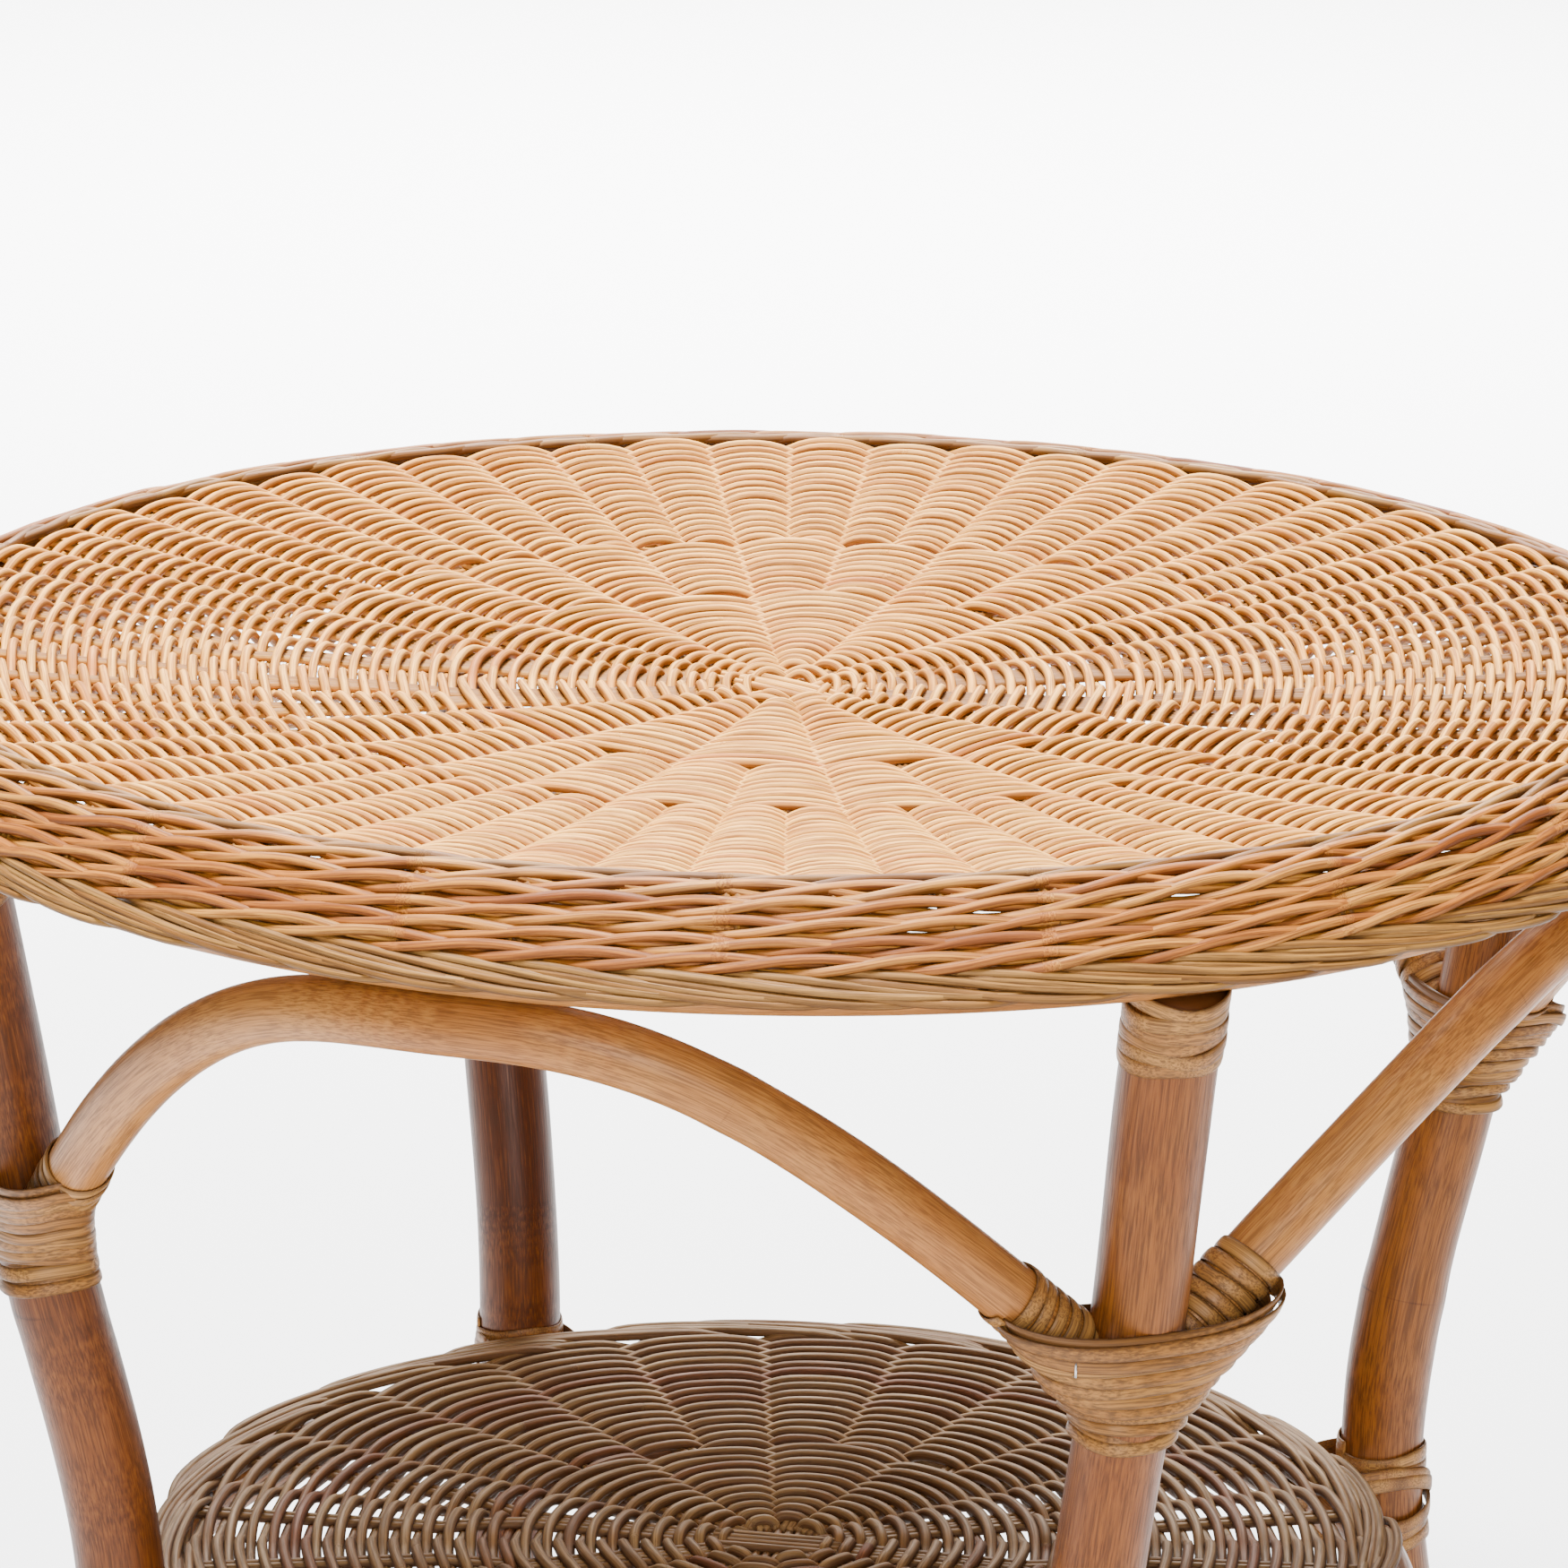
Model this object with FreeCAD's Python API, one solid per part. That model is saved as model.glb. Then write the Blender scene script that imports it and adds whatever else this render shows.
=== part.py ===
import FreeCAD, Part
import math
import os

# Round wicker coffee table: a dished woven top over a bent-pole hoop, four bowed
# pole legs, an arch pole between each pair of legs, and a smaller woven shelf on a
# hoop of its own, with every pole joint bound in flat peel.
# Origin: centre of the footprint, on the floor. +Z up, millimetres.

# ---- Overall sizes ----
overall_diameter = 600.0  # across the closing border of the top
overall_height = 470.0  # floor to the shoulder, the highest ring of the top
fit_gap = 0.3  # air between neighbouring pieces
nail_gap = 0.1  # air around a nail or screw in its hole
stake_gap = 0.12  # air around a stake between its weavers

# ---- Woven top: dish, shoulder and skirt ----
skirt_flare = 13.5  # how much wider the border is than the shoulder
skirt_drop = 33.0  # shoulder to the underside of the border
dish_depth = 16.7  # shoulder to the middle of the dish
weave_thickness = 7.0  # weavers over and under the stakes
wale_width = 9.5  # flat part of the rim before the shoulder
border_width = 9.0
border_height = 9.6
hub_radius = 34.0  # where the crossing sticks give way to the stakes
stake_count = 60
stake_width = 2.9
stake_thickness = 2.4
first_split_radius = 104.0  # bundles of four open into pairs
second_split_radius = 165.0  # pairs open into single stakes
split_run = 24.0  # length over which a bundle opens
hub_stick_count = 4  # sticks in each crossing bundle

# ---- Bent poles ----
leg_pole = 28.0
hoop_pole = 23.0
arch_pole = 19.0
shelf_hoop_pole = 18.0
leg_seat = 1.0  # depth of the leg's top saddle under the hoop
leg_top_inset = 3.6  # leg's middle inside the hoop's middle at the top
hoop_recess = 3.5  # hoop's middle above the underside of the border
foot_radius = 272.0  # centre of the feet from the table's axis
arch_spring_drop = 171.0  # shoulder to where the arches spring from the legs
arch_crown_inset = 2.0  # crown's middle inside the hoop's middle
arch_flatness = 0.4  # share of half an arch over which its crown bends
arch_power = 3.0  # how sharply the crown passes into the straight sides
scarf_slope = 20.0  # degrees between a scarf cut and the pole
scarf_cut = 0.5  # glue line of a scarf joint

# The leg's bow: share of the drop against share of the way inward or outward.
bow_above_shelf = ((0.13, 0.15), (0.39, 0.405), (0.65, 0.763), (0.86, 0.98))
bow_below_shelf = ((0.27, 0.12), (0.65, 0.52))

# ---- Shelf ----
shelf_diameter = 404.0
shelf_height = 167.5  # floor to the shelf's surface
shelf_stake_count = 24
shelf_border_width = 11.0
shelf_hub_radius = 22.0
shelf_split_radius = 87.0
shelf_hoop_inset = 2.0  # hoop's middle inside the shelf's edge
shelf_hub_turn = 30.0  # degrees that the shelf's crossing sticks are turned

# ---- Peel bindings ----
peel_thickness = 1.5
top_binding_height = 22.0
top_binding_drop = 0.5  # hoop's underside to the start of the leg's top binding
collar_top_drop = 148.0  # shoulder to the wide end of a joint collar
collar_bottom_drop = 187.0
collar_half_width = 41.0
collar_cover = 3.6  # peel over the outside of the leg at the wide end
collar_half_depth = leg_pole / 2 + collar_cover
arch_wrap_length = 0.06  # share of half an arch that its end binding covers
arch_wrap_start = 0.82  # where it ends next to the collar, as the same share
shelf_binding_height = 36.0
shelf_binding_reach = 21.0  # along the shelf hoop, each side of the leg

# ---- Fasteners ----
screw_radius = 2.0
screw_head_radius = 4.0
screw_head_height = 2.6
top_screw_length = 52.0
shelf_screw_length = 34.0
nail_radius = 1.2
nail_head_radius = 2.4
nail_head_height = 0.8
end_nail_depth = 9.0  # into the leg
crown_nail_length = 32.0
scarf_nail_spacing = 22.0
staple_wire = 0.8
staple_width = 4.0
staple_leg = 1.2
staple_drop = 6.0  # below the wide end of the collar
staple_offset = 26.0  # to one side of the leg's middle

# ---- Places of the four legs and the arches between them ----
leg_angles = {"front": -45.0, "right": 45.0, "back": 135.0, "left": 225.0}
leg_order = ("front", "right", "back", "left")
quarter_turn = 90.0
full_turn = 360.0
scarf_angle = 180.0  # where both hoops are joined, midway between two legs
arch_samples = 24
halvings = 40  # steps of the search for the leg's radius at a height
cutter_reach = 2.0  # how far a cutting tool overshoots

# ---- Worked out from the sizes above ----
border_radius = overall_diameter / 2
shoulder_radius = border_radius - skirt_flare
skirt_lean = math.atan2(skirt_flare, skirt_drop)
stake_depth = (weave_thickness - stake_thickness) / 2
wale_foot_drop = skirt_drop - border_height - fit_gap
weave_radius = shoulder_radius - wale_width
shelf_radius = shelf_diameter / 2
shelf_weave_radius = shelf_radius - shelf_border_width
Z_AXIS = FreeCAD.Vector(0, 0, 1)
CENTRE = FreeCAD.Vector(0, 0, 0)


def polar(radius, angle, height):
    """Point at a radius and an angle in degrees, at a height above the floor."""
    turn = math.radians(angle)
    return FreeCAD.Vector(radius * math.cos(turn), radius * math.sin(turn), height)


def below_shoulder(drop):
    """Height above the floor of a place that is this far below the shoulder."""
    return overall_height - drop


def skirt_radius(depth, drop):
    """Radius of the skirt at a drop, this deep under its outer face."""
    return shoulder_radius + drop * math.tan(skirt_lean) - depth / math.cos(skirt_lean)


def dish_drop(radius, depth):
    """Drop of the dished surface at a radius, this deep under its upper face."""
    rim = skirt_radius(depth, depth)
    return depth + dish_depth * (1 - (radius / rim) ** 2)


hoop_drop = skirt_drop - hoop_recess
hoop_clearance = (hoop_pole / 2 + fit_gap) / math.cos(skirt_lean)
hoop_radius = skirt_radius(weave_thickness, hoop_drop) - hoop_clearance
leg_top_drop = hoop_drop + hoop_pole / 2 - leg_seat
shelf_hoop_drop = (overall_height - shelf_height + weave_thickness
                   + 2 * fit_gap + peel_thickness + shelf_hoop_pole / 2)
shelf_hoop_radius = shelf_radius - shelf_hoop_inset
leg_waist_radius = shelf_hoop_radius + shelf_hoop_pole / 2 + fit_gap + leg_pole / 2


# ---- Solids that several pieces share ----

def ring_of(face):
    """Solid of revolution about the table's axis."""
    return face.revolve(CENTRE, Z_AXIS, full_turn)


def section(radius, height):
    """Point of a radial section, in the XZ plane."""
    return FreeCAD.Vector(radius, 0, height)


def curve_through(points):
    """Smooth curve through the points."""
    curve = Part.BSplineCurve()
    curve.interpolate(points)
    return curve


def round_pole(points, radius):
    """Solid round pole along a smooth curve through the points."""
    curve = curve_through(points)
    start = curve.FirstParameter
    disc = Part.Wire(Part.makeCircle(radius, curve.value(start), curve.tangent(start)[0]))
    return Part.Wire(curve.toShape()).makePipeShell([disc], True, False)


def rod(start, direction, radius, length):
    """Straight round rod."""
    return Part.makeCylinder(radius, length, start, direction)


def slab(low, high):
    """Everything between two heights."""
    side = 2 * overall_diameter
    corner = FreeCAD.Vector(-side / 2, -side / 2, low)
    return Part.makeBox(side, side, high - low, corner)


def prism(outline, low, high):
    """Upright prism on a closed plan outline."""
    raised = [FreeCAD.Vector(point.x, point.y, low) for point in outline]
    face = Part.Face(Part.makePolygon(raised + raised[:1]))
    return face.extrude(Z_AXIS * (high - low))


# ---- Legs ----

def leg_bow():
    """Radius and height pairs down the middle of a leg, from the hoop to the floor."""
    top = (hoop_radius - leg_top_inset, below_shoulder(leg_top_drop))
    waist = (leg_waist_radius, below_shoulder(shelf_hoop_drop))
    foot = (foot_radius, 0.0)
    pairs = [top]
    for (start, end, shares) in ((top, waist, bow_above_shelf), (waist, foot, bow_below_shelf)):
        for (drop_share, run_share) in shares:
            radius = start[0] + (end[0] - start[0]) * run_share
            height = start[1] + (end[1] - start[1]) * drop_share
            pairs.append((radius, height))
        pairs.append(end)
    return pairs


leg_curve = curve_through([section(radius, height) for (radius, height) in leg_bow()])


def leg_radius_at(height):
    """Radius of the legs' bowed surface at a height, by halving along the curve."""
    low = leg_curve.LastParameter
    high = leg_curve.FirstParameter
    for _ in range(halvings):
        middle = (low + high) / 2
        if leg_curve.value(middle).z < height:
            low = middle
        else:
            high = middle
    return leg_curve.value(low).x


def leg_pole_at(angle, extra=0.0):
    """Leg pole, cut flat on the floor, thicker by an amount where it is a cutter."""
    points = [polar(radius, angle, height) for (radius, height) in leg_bow()]
    reach = points[-1] - points[-2]
    reach.normalize()
    foot_end = points[-1] + reach * leg_pole
    pole = round_pole(points + [foot_end], leg_pole / 2 + extra)
    return pole.common(slab(0.0, overall_height))


# ---- Hoops ----

def full_hoop(radius, pole, drop, extra=0.0):
    """Closed hoop of round pole."""
    hoop = Part.makeTorus(radius, pole / 2 + extra)
    hoop.translate(FreeCAD.Vector(0, 0, below_shoulder(drop)))
    return hoop


def scarfed_hoop(radius, pole, drop):
    """Hoop bent from one pole, its ends cut on a slope and laid together."""
    length = 2 * pole / math.sin(math.radians(scarf_slope))
    corner = FreeCAD.Vector(-length / 2, -scarf_cut / 2, -pole)
    cut = Part.makeBox(length, scarf_cut, 2 * pole, corner)
    cut.rotate(CENTRE, Z_AXIS, scarf_angle + quarter_turn + scarf_slope)
    cut.translate(polar(radius, scarf_angle, below_shoulder(drop)))
    return full_hoop(radius, pole, drop).cut(cut)


# ---- Arches ----

crown_reach = hoop_pole / 2 + arch_pole / 2 + fit_gap
arch_crown_drop = hoop_drop + math.sqrt(crown_reach ** 2 - arch_crown_inset ** 2)
arch_crown_radius = hoop_radius - arch_crown_inset
arch_spring_radius = leg_radius_at(below_shoulder(arch_spring_drop))


def arch_fall(share):
    """Share of the arch's height lost at a share of its half length: flat round the
    crown, then almost straight down to the leg."""
    def rounded(place):
        return (place ** arch_power + arch_flatness ** arch_power) ** (1 / arch_power)

    return (rounded(abs(share)) - arch_flatness) / (rounded(1.0) - arch_flatness)


def arch_point(middle_angle, share):
    """Point on an arch: share -1 and 1 are its two legs, 0 is its crown.

    Its radius eases from the crown's to the leg's along a smooth step."""
    drop = arch_crown_drop + (arch_spring_drop - arch_crown_drop) * arch_fall(share)
    step = share ** 2 * (3 - 2 * abs(share))
    radius = arch_crown_radius + (arch_spring_radius - arch_crown_radius) * step
    return polar(radius, middle_angle + share * quarter_turn / 2, below_shoulder(drop))


def arch_pole_between(middle_angle, start, end, extra=0.0):
    """Stretch of an arch pole between two shares of its half length."""
    count = max(4, round(arch_samples * (end - start) / 2))
    shares = [start + (end - start) * step / count for step in range(count + 1)]
    points = [arch_point(middle_angle, share) for share in shares]
    return round_pole(points, arch_pole / 2 + extra)


# ---- Woven sheets ----

def sheet_profile(depth_a, depth_b):
    """Radial section of the top between two depths under its upper face: the dish
    out to the shoulder, then down the skirt to the border."""
    sides = []
    for depth in (depth_a, depth_b):
        rim = skirt_radius(depth, depth)
        middle = rim / 2
        sides.append((section(0, below_shoulder(dish_drop(0, depth))),
                      section(middle, below_shoulder(dish_drop(middle, depth))),
                      section(rim, below_shoulder(depth)),
                      section(skirt_radius(depth, wale_foot_drop), below_shoulder(wale_foot_drop))))
    (upper, lower) = sides
    edges = [Part.Arc(upper[0], upper[1], upper[2]).toShape(),
             Part.makeLine(upper[2], upper[3]),
             Part.makeLine(upper[3], lower[3]),
             Part.makeLine(lower[3], lower[2]),
             Part.Arc(lower[2], lower[1], lower[0]).toShape(),
             Part.makeLine(lower[0], upper[0])]
    return Part.Face(Part.Wire(edges))


def bundle_sizes(count):
    """Pairs of stakes in each bundle at the top's hub: two, and a single pair that
    is left over in each half."""
    pairs_in_half = count // 4
    half = [2] * (pairs_in_half // 2) + [1] * (pairs_in_half % 2)
    return half + half


def stake_route(index):
    """Plan stations of one of the top's stakes: radius, angle of its bundle and
    distance to the side of the bundle's middle."""
    step = full_turn / stake_count
    pitch = stake_width + fit_gap
    pair = index // 2
    first_pair = 0
    for size in bundle_sizes(stake_count):
        if pair < first_pair + size:
            break
        first_pair += size
    members = 2 * size
    bundle_angle = (2 * first_pair + (members - 1) / 2) * step
    bundle_side = (index - 2 * first_pair - (members - 1) / 2) * pitch
    pair_angle = (2 * pair + 0.5) * step
    pair_side = (index - 2 * pair - 0.5) * pitch
    return [(hub_radius, bundle_angle, bundle_side),
            (first_split_radius, bundle_angle, bundle_side),
            (first_split_radius + split_run, pair_angle, pair_side),
            (second_split_radius, pair_angle, pair_side),
            (second_split_radius + split_run, index * step, 0.0),
            (border_radius, index * step, 0.0)]


def shelf_stake_route(index):
    """Plan stations of one of the shelf's stakes."""
    step = full_turn / shelf_stake_count
    pitch = stake_width + fit_gap
    pair = index // 2
    pair_angle = (2 * pair + 0.5) * step
    pair_side = (index - 2 * pair - 0.5) * pitch
    return [(shelf_hub_radius, pair_angle, pair_side),
            (shelf_split_radius, pair_angle, pair_side),
            (shelf_split_radius + split_run, index * step, 0.0),
            (shelf_weave_radius + shelf_border_width / 2, index * step, 0.0)]


def strip_outline(route, half_width, overshoot=0.0):
    """Closed plan outline of a strip that follows its stations."""
    left = []
    right = []
    for (place, (radius, angle, side)) in enumerate(route):
        end_shift = {0: -overshoot, len(route) - 1: overshoot}.get(place, 0.0)
        outward = polar(1.0, angle, 0.0)
        across = polar(1.0, angle + quarter_turn, 0.0)
        middle = outward * (radius + end_shift) + across * side
        left.append(middle + across * half_width)
        right.append(middle - across * half_width)
    return left + right[::-1]


def woven_top():
    """The top's four woven nodes: stakes, weave, wale and closing border."""
    lowest = below_shoulder(skirt_drop)
    sheet = ring_of(sheet_profile(0.0, weave_thickness))
    core = ring_of(sheet_profile(stake_depth, stake_depth + stake_thickness))
    sleeve = ring_of(sheet_profile(stake_depth - stake_gap,
                                   stake_depth + stake_thickness + stake_gap))
    half = stake_width / 2
    stakes = []
    tunnels = []
    for index in range(stake_count):
        route = stake_route(index)
        stakes.append(core.common(prism(strip_outline(route, half), lowest, overall_height)))
        tunnels.append(prism(strip_outline(route, half + stake_gap, cutter_reach),
                             lowest, overall_height))
    tunnel = sleeve.common(Part.makeCompound(tunnels))
    inner = Part.makeCylinder(hub_radius - fit_gap, overall_height)
    body = sheet.cut(inner).cut(tunnel)
    rim_cut = Part.makeCylinder(weave_radius, overall_height)
    rim_gap = Part.makeCylinder(weave_radius + fit_gap, overall_height)
    border_centre = section(border_radius - border_width / 2,
                            below_shoulder(skirt_drop - border_height / 2))
    ellipse = Part.Ellipse(border_centre + FreeCAD.Vector(0, 0, border_height / 2),
                           border_centre + FreeCAD.Vector(border_width / 2, 0, 0),
                           border_centre)
    border = ring_of(Part.Face(Part.Wire(ellipse.toShape())))
    return {"top_stakes": Part.makeCompound(stakes),
            "top_weave": body.common(rim_cut),
            "top_wale": body.cut(rim_gap),
            "top_border": border}


def crossing_sticks(radius, upper_height, turn):
    """Two bundles of straight sticks that cross at a hub, one above the other."""
    pitch = stake_width + fit_gap
    reach = radius - 2 * fit_gap
    sticks = []
    for (layer, angle) in enumerate((turn, turn + quarter_turn)):
        top = upper_height - layer * (stake_thickness + fit_gap)
        for place in range(hub_stick_count):
            side = (place - (hub_stick_count - 1) / 2) * pitch
            half_length = math.sqrt(reach ** 2 - (abs(side) + stake_width / 2) ** 2)
            corner = FreeCAD.Vector(-half_length, side - stake_width / 2, top - stake_thickness)
            stick = Part.makeBox(2 * half_length, stake_width, stake_thickness, corner)
            stick.rotate(CENTRE, Z_AXIS, angle)
            sticks.append(stick)
    return Part.makeCompound(sticks)


def woven_shelf():
    """The shelf's woven nodes: stakes, weave and border."""
    underside = shelf_height - weave_thickness
    low = shelf_height - stake_depth - stake_thickness
    high = shelf_height - stake_depth
    disc = Part.makeCylinder(shelf_radius, weave_thickness, FreeCAD.Vector(0, 0, underside))
    disc = disc.cut(Part.makeCylinder(shelf_hub_radius - fit_gap, overall_height))
    half = stake_width / 2
    stakes = []
    tunnels = []
    for index in range(shelf_stake_count):
        route = shelf_stake_route(index)
        stakes.append(prism(strip_outline(route, half), low, high))
        tunnels.append(prism(strip_outline(route, half + stake_gap, fit_gap),
                             low - stake_gap, high + stake_gap))
    disc = disc.cut(Part.makeCompound(tunnels))
    return {"shelf_stakes": Part.makeCompound(stakes),
            "shelf_weave": disc.common(Part.makeCylinder(shelf_weave_radius, overall_height)),
            "shelf_border": disc.cut(Part.makeCylinder(shelf_weave_radius + fit_gap,
                                                       overall_height))}


# ---- Peel bindings ----

def leg_sleeve(angle, low, high):
    """Binding wound round a leg between two heights, before the pole is taken out."""
    return leg_pole_at(angle, fit_gap + peel_thickness).common(slab(low, high))


def collar_body(angle):
    """Tapered binding that gathers a leg and the ends of its two arches.

    Its narrow end is a hair wider than deep, so that the long axis lies across."""
    wires = []
    sizes = ((collar_bottom_drop, leg_pole / 2 + fit_gap + peel_thickness,
              leg_pole / 2 + fit_gap + peel_thickness - nail_gap),
             (collar_top_drop, collar_half_width, collar_half_depth))
    for (drop, half_width, half_depth) in sizes:
        height = below_shoulder(drop)
        centre = polar(leg_radius_at(height), angle, height)
        across = polar(half_width, angle + quarter_turn, 0.0)
        outward = polar(half_depth, angle, 0.0)
        ring = Part.Ellipse(centre + across, centre + outward, centre)
        wires.append(Part.Wire(ring.toShape()))
    return Part.makeLoft(wires, True, True)


def shelf_binding_body(angle):
    """Crossed binding over a leg and the shelf's hoop, before the poles are out."""
    height = below_shoulder(shelf_hoop_drop)
    reach = math.degrees(shelf_binding_reach / shelf_hoop_radius)
    sleeve = Part.makeTorus(shelf_hoop_radius, shelf_hoop_pole / 2 + fit_gap + peel_thickness,
                            FreeCAD.Vector(0, 0, height), Z_AXIS,
                            0, full_turn, 2 * reach)
    sleeve.rotate(CENTRE, Z_AXIS, angle - reach)
    half = shelf_binding_height / 2
    return sleeve.fuse(leg_sleeve(angle, height - half, height + half))


# ---- Fasteners ----

def headed_pin(start, direction, radius, head_radius, head_height, length, extra=0.0):
    """Nail or screw: a flat head at its start and a straight shank."""
    axis = FreeCAD.Vector(direction)
    axis.normalize()
    shank = rod(start - axis * extra, axis, radius + extra, length + 2 * extra)
    head = rod(start - axis * extra, axis, head_radius + extra, head_height + 2 * extra)
    return shank.fuse(head)


def screw_at(start, direction, length, extra=0.0):
    """Screw with its head let in flush."""
    return headed_pin(start, direction, screw_radius, screw_head_radius,
                      screw_head_height, length, extra)


def nail_at(start, direction, length, extra=0.0):
    """Round nail."""
    return headed_pin(start, direction, nail_radius, nail_head_radius,
                      nail_head_height, length, extra)


def top_screw(angle, extra=0.0):
    """Screw down through the hoop into the end of a leg."""
    (upper, lower) = [polar(radius, angle, height) for (radius, height) in leg_bow()[:2]]
    centre = polar(hoop_radius, angle, below_shoulder(hoop_drop))
    direction = lower - upper
    direction.normalize()
    start = centre - direction * (hoop_pole / 2 - nail_head_height)
    return screw_at(start, direction, top_screw_length, extra)


def end_nail(middle_angle, side, extra=0.0):
    """Nail through the end of an arch into its leg."""
    height = arch_point(middle_angle, side).z + leg_pole
    leg_angle = middle_angle + side * quarter_turn / 2
    leg_centre = polar(leg_radius_at(height), leg_angle, height)
    away = polar(-side, leg_angle + quarter_turn, 0.0)
    span = leg_pole / 2 - end_nail_depth
    start = leg_centre + away * (leg_pole / 2 + arch_pole / 2 + nail_head_height)
    length = arch_pole / 2 + nail_head_height + leg_pole / 2 - span
    return nail_at(start, away * -1.0, length, extra)


def crown_nail(middle_angle, extra=0.0):
    """Nail up through the crown of an arch into the hoop."""
    crown = arch_point(middle_angle, 0.0)
    hoop_middle = polar(hoop_radius, middle_angle, below_shoulder(hoop_drop))
    direction = hoop_middle - crown
    direction.normalize()
    start = crown - direction * (arch_pole / 2 - nail_head_height)
    return nail_at(start, direction, crown_nail_length, extra)


def shelf_screw(angle, extra=0.0):
    """Screw through a leg into the shelf's hoop."""
    height = below_shoulder(shelf_hoop_drop)
    start = polar(leg_waist_radius + leg_pole / 2 - nail_head_height, angle, height)
    return screw_at(start, polar(-1.0, angle, 0.0), shelf_screw_length, extra)


def scarf_nails(radius, pole, drop, extra=0.0):
    """Two nails across a hoop's scarf, driven from inside."""
    turn = math.degrees(scarf_nail_spacing / 2 / radius)
    nails = []
    for side in (-1, 1):
        angle = scarf_angle + side * turn
        start = polar(radius - pole / 2 + nail_head_height, angle, below_shoulder(drop))
        nails.append(nail_at(start, polar(1.0, angle, 0.0), pole - 2 * nail_head_height, extra))
    return Part.makeCompound(nails)


def staple(angle, extra=0.0):
    """Wire staple upright on the wide end of a collar, its two legs pushed into it."""
    height = below_shoulder(collar_top_drop + staple_drop)
    share = staple_drop / (collar_bottom_drop - collar_top_drop)
    narrow = leg_pole / 2 + fit_gap + peel_thickness
    half_width = collar_half_width + (narrow - collar_half_width) * share
    swell = math.sqrt(1 - (staple_offset / half_width) ** 2)
    face = leg_radius_at(height) + collar_half_depth * swell
    wire = staple_wire + 2 * extra
    side_place = -staple_offset - wire / 2
    crown = Part.makeBox(wire, wire, staple_width + 2 * extra,
                         FreeCAD.Vector(face, side_place, height - staple_width / 2 - extra))
    pieces = [crown]
    for end in (-1, 1):
        middle = height + end * (staple_width - staple_wire) / 2
        corner = FreeCAD.Vector(face - staple_leg, side_place, middle - wire / 2)
        pieces.append(Part.makeBox(staple_leg + wire, wire, wire, corner))
    whole = pieces[0].multiFuse(pieces[1:]).removeSplitter()
    whole.rotate(CENTRE, Z_AXIS, angle)
    return whole


def group(shapes):
    """Separate identical solids kept in one node."""
    return Part.makeCompound(list(shapes))


# ---- The whole table ----

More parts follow.
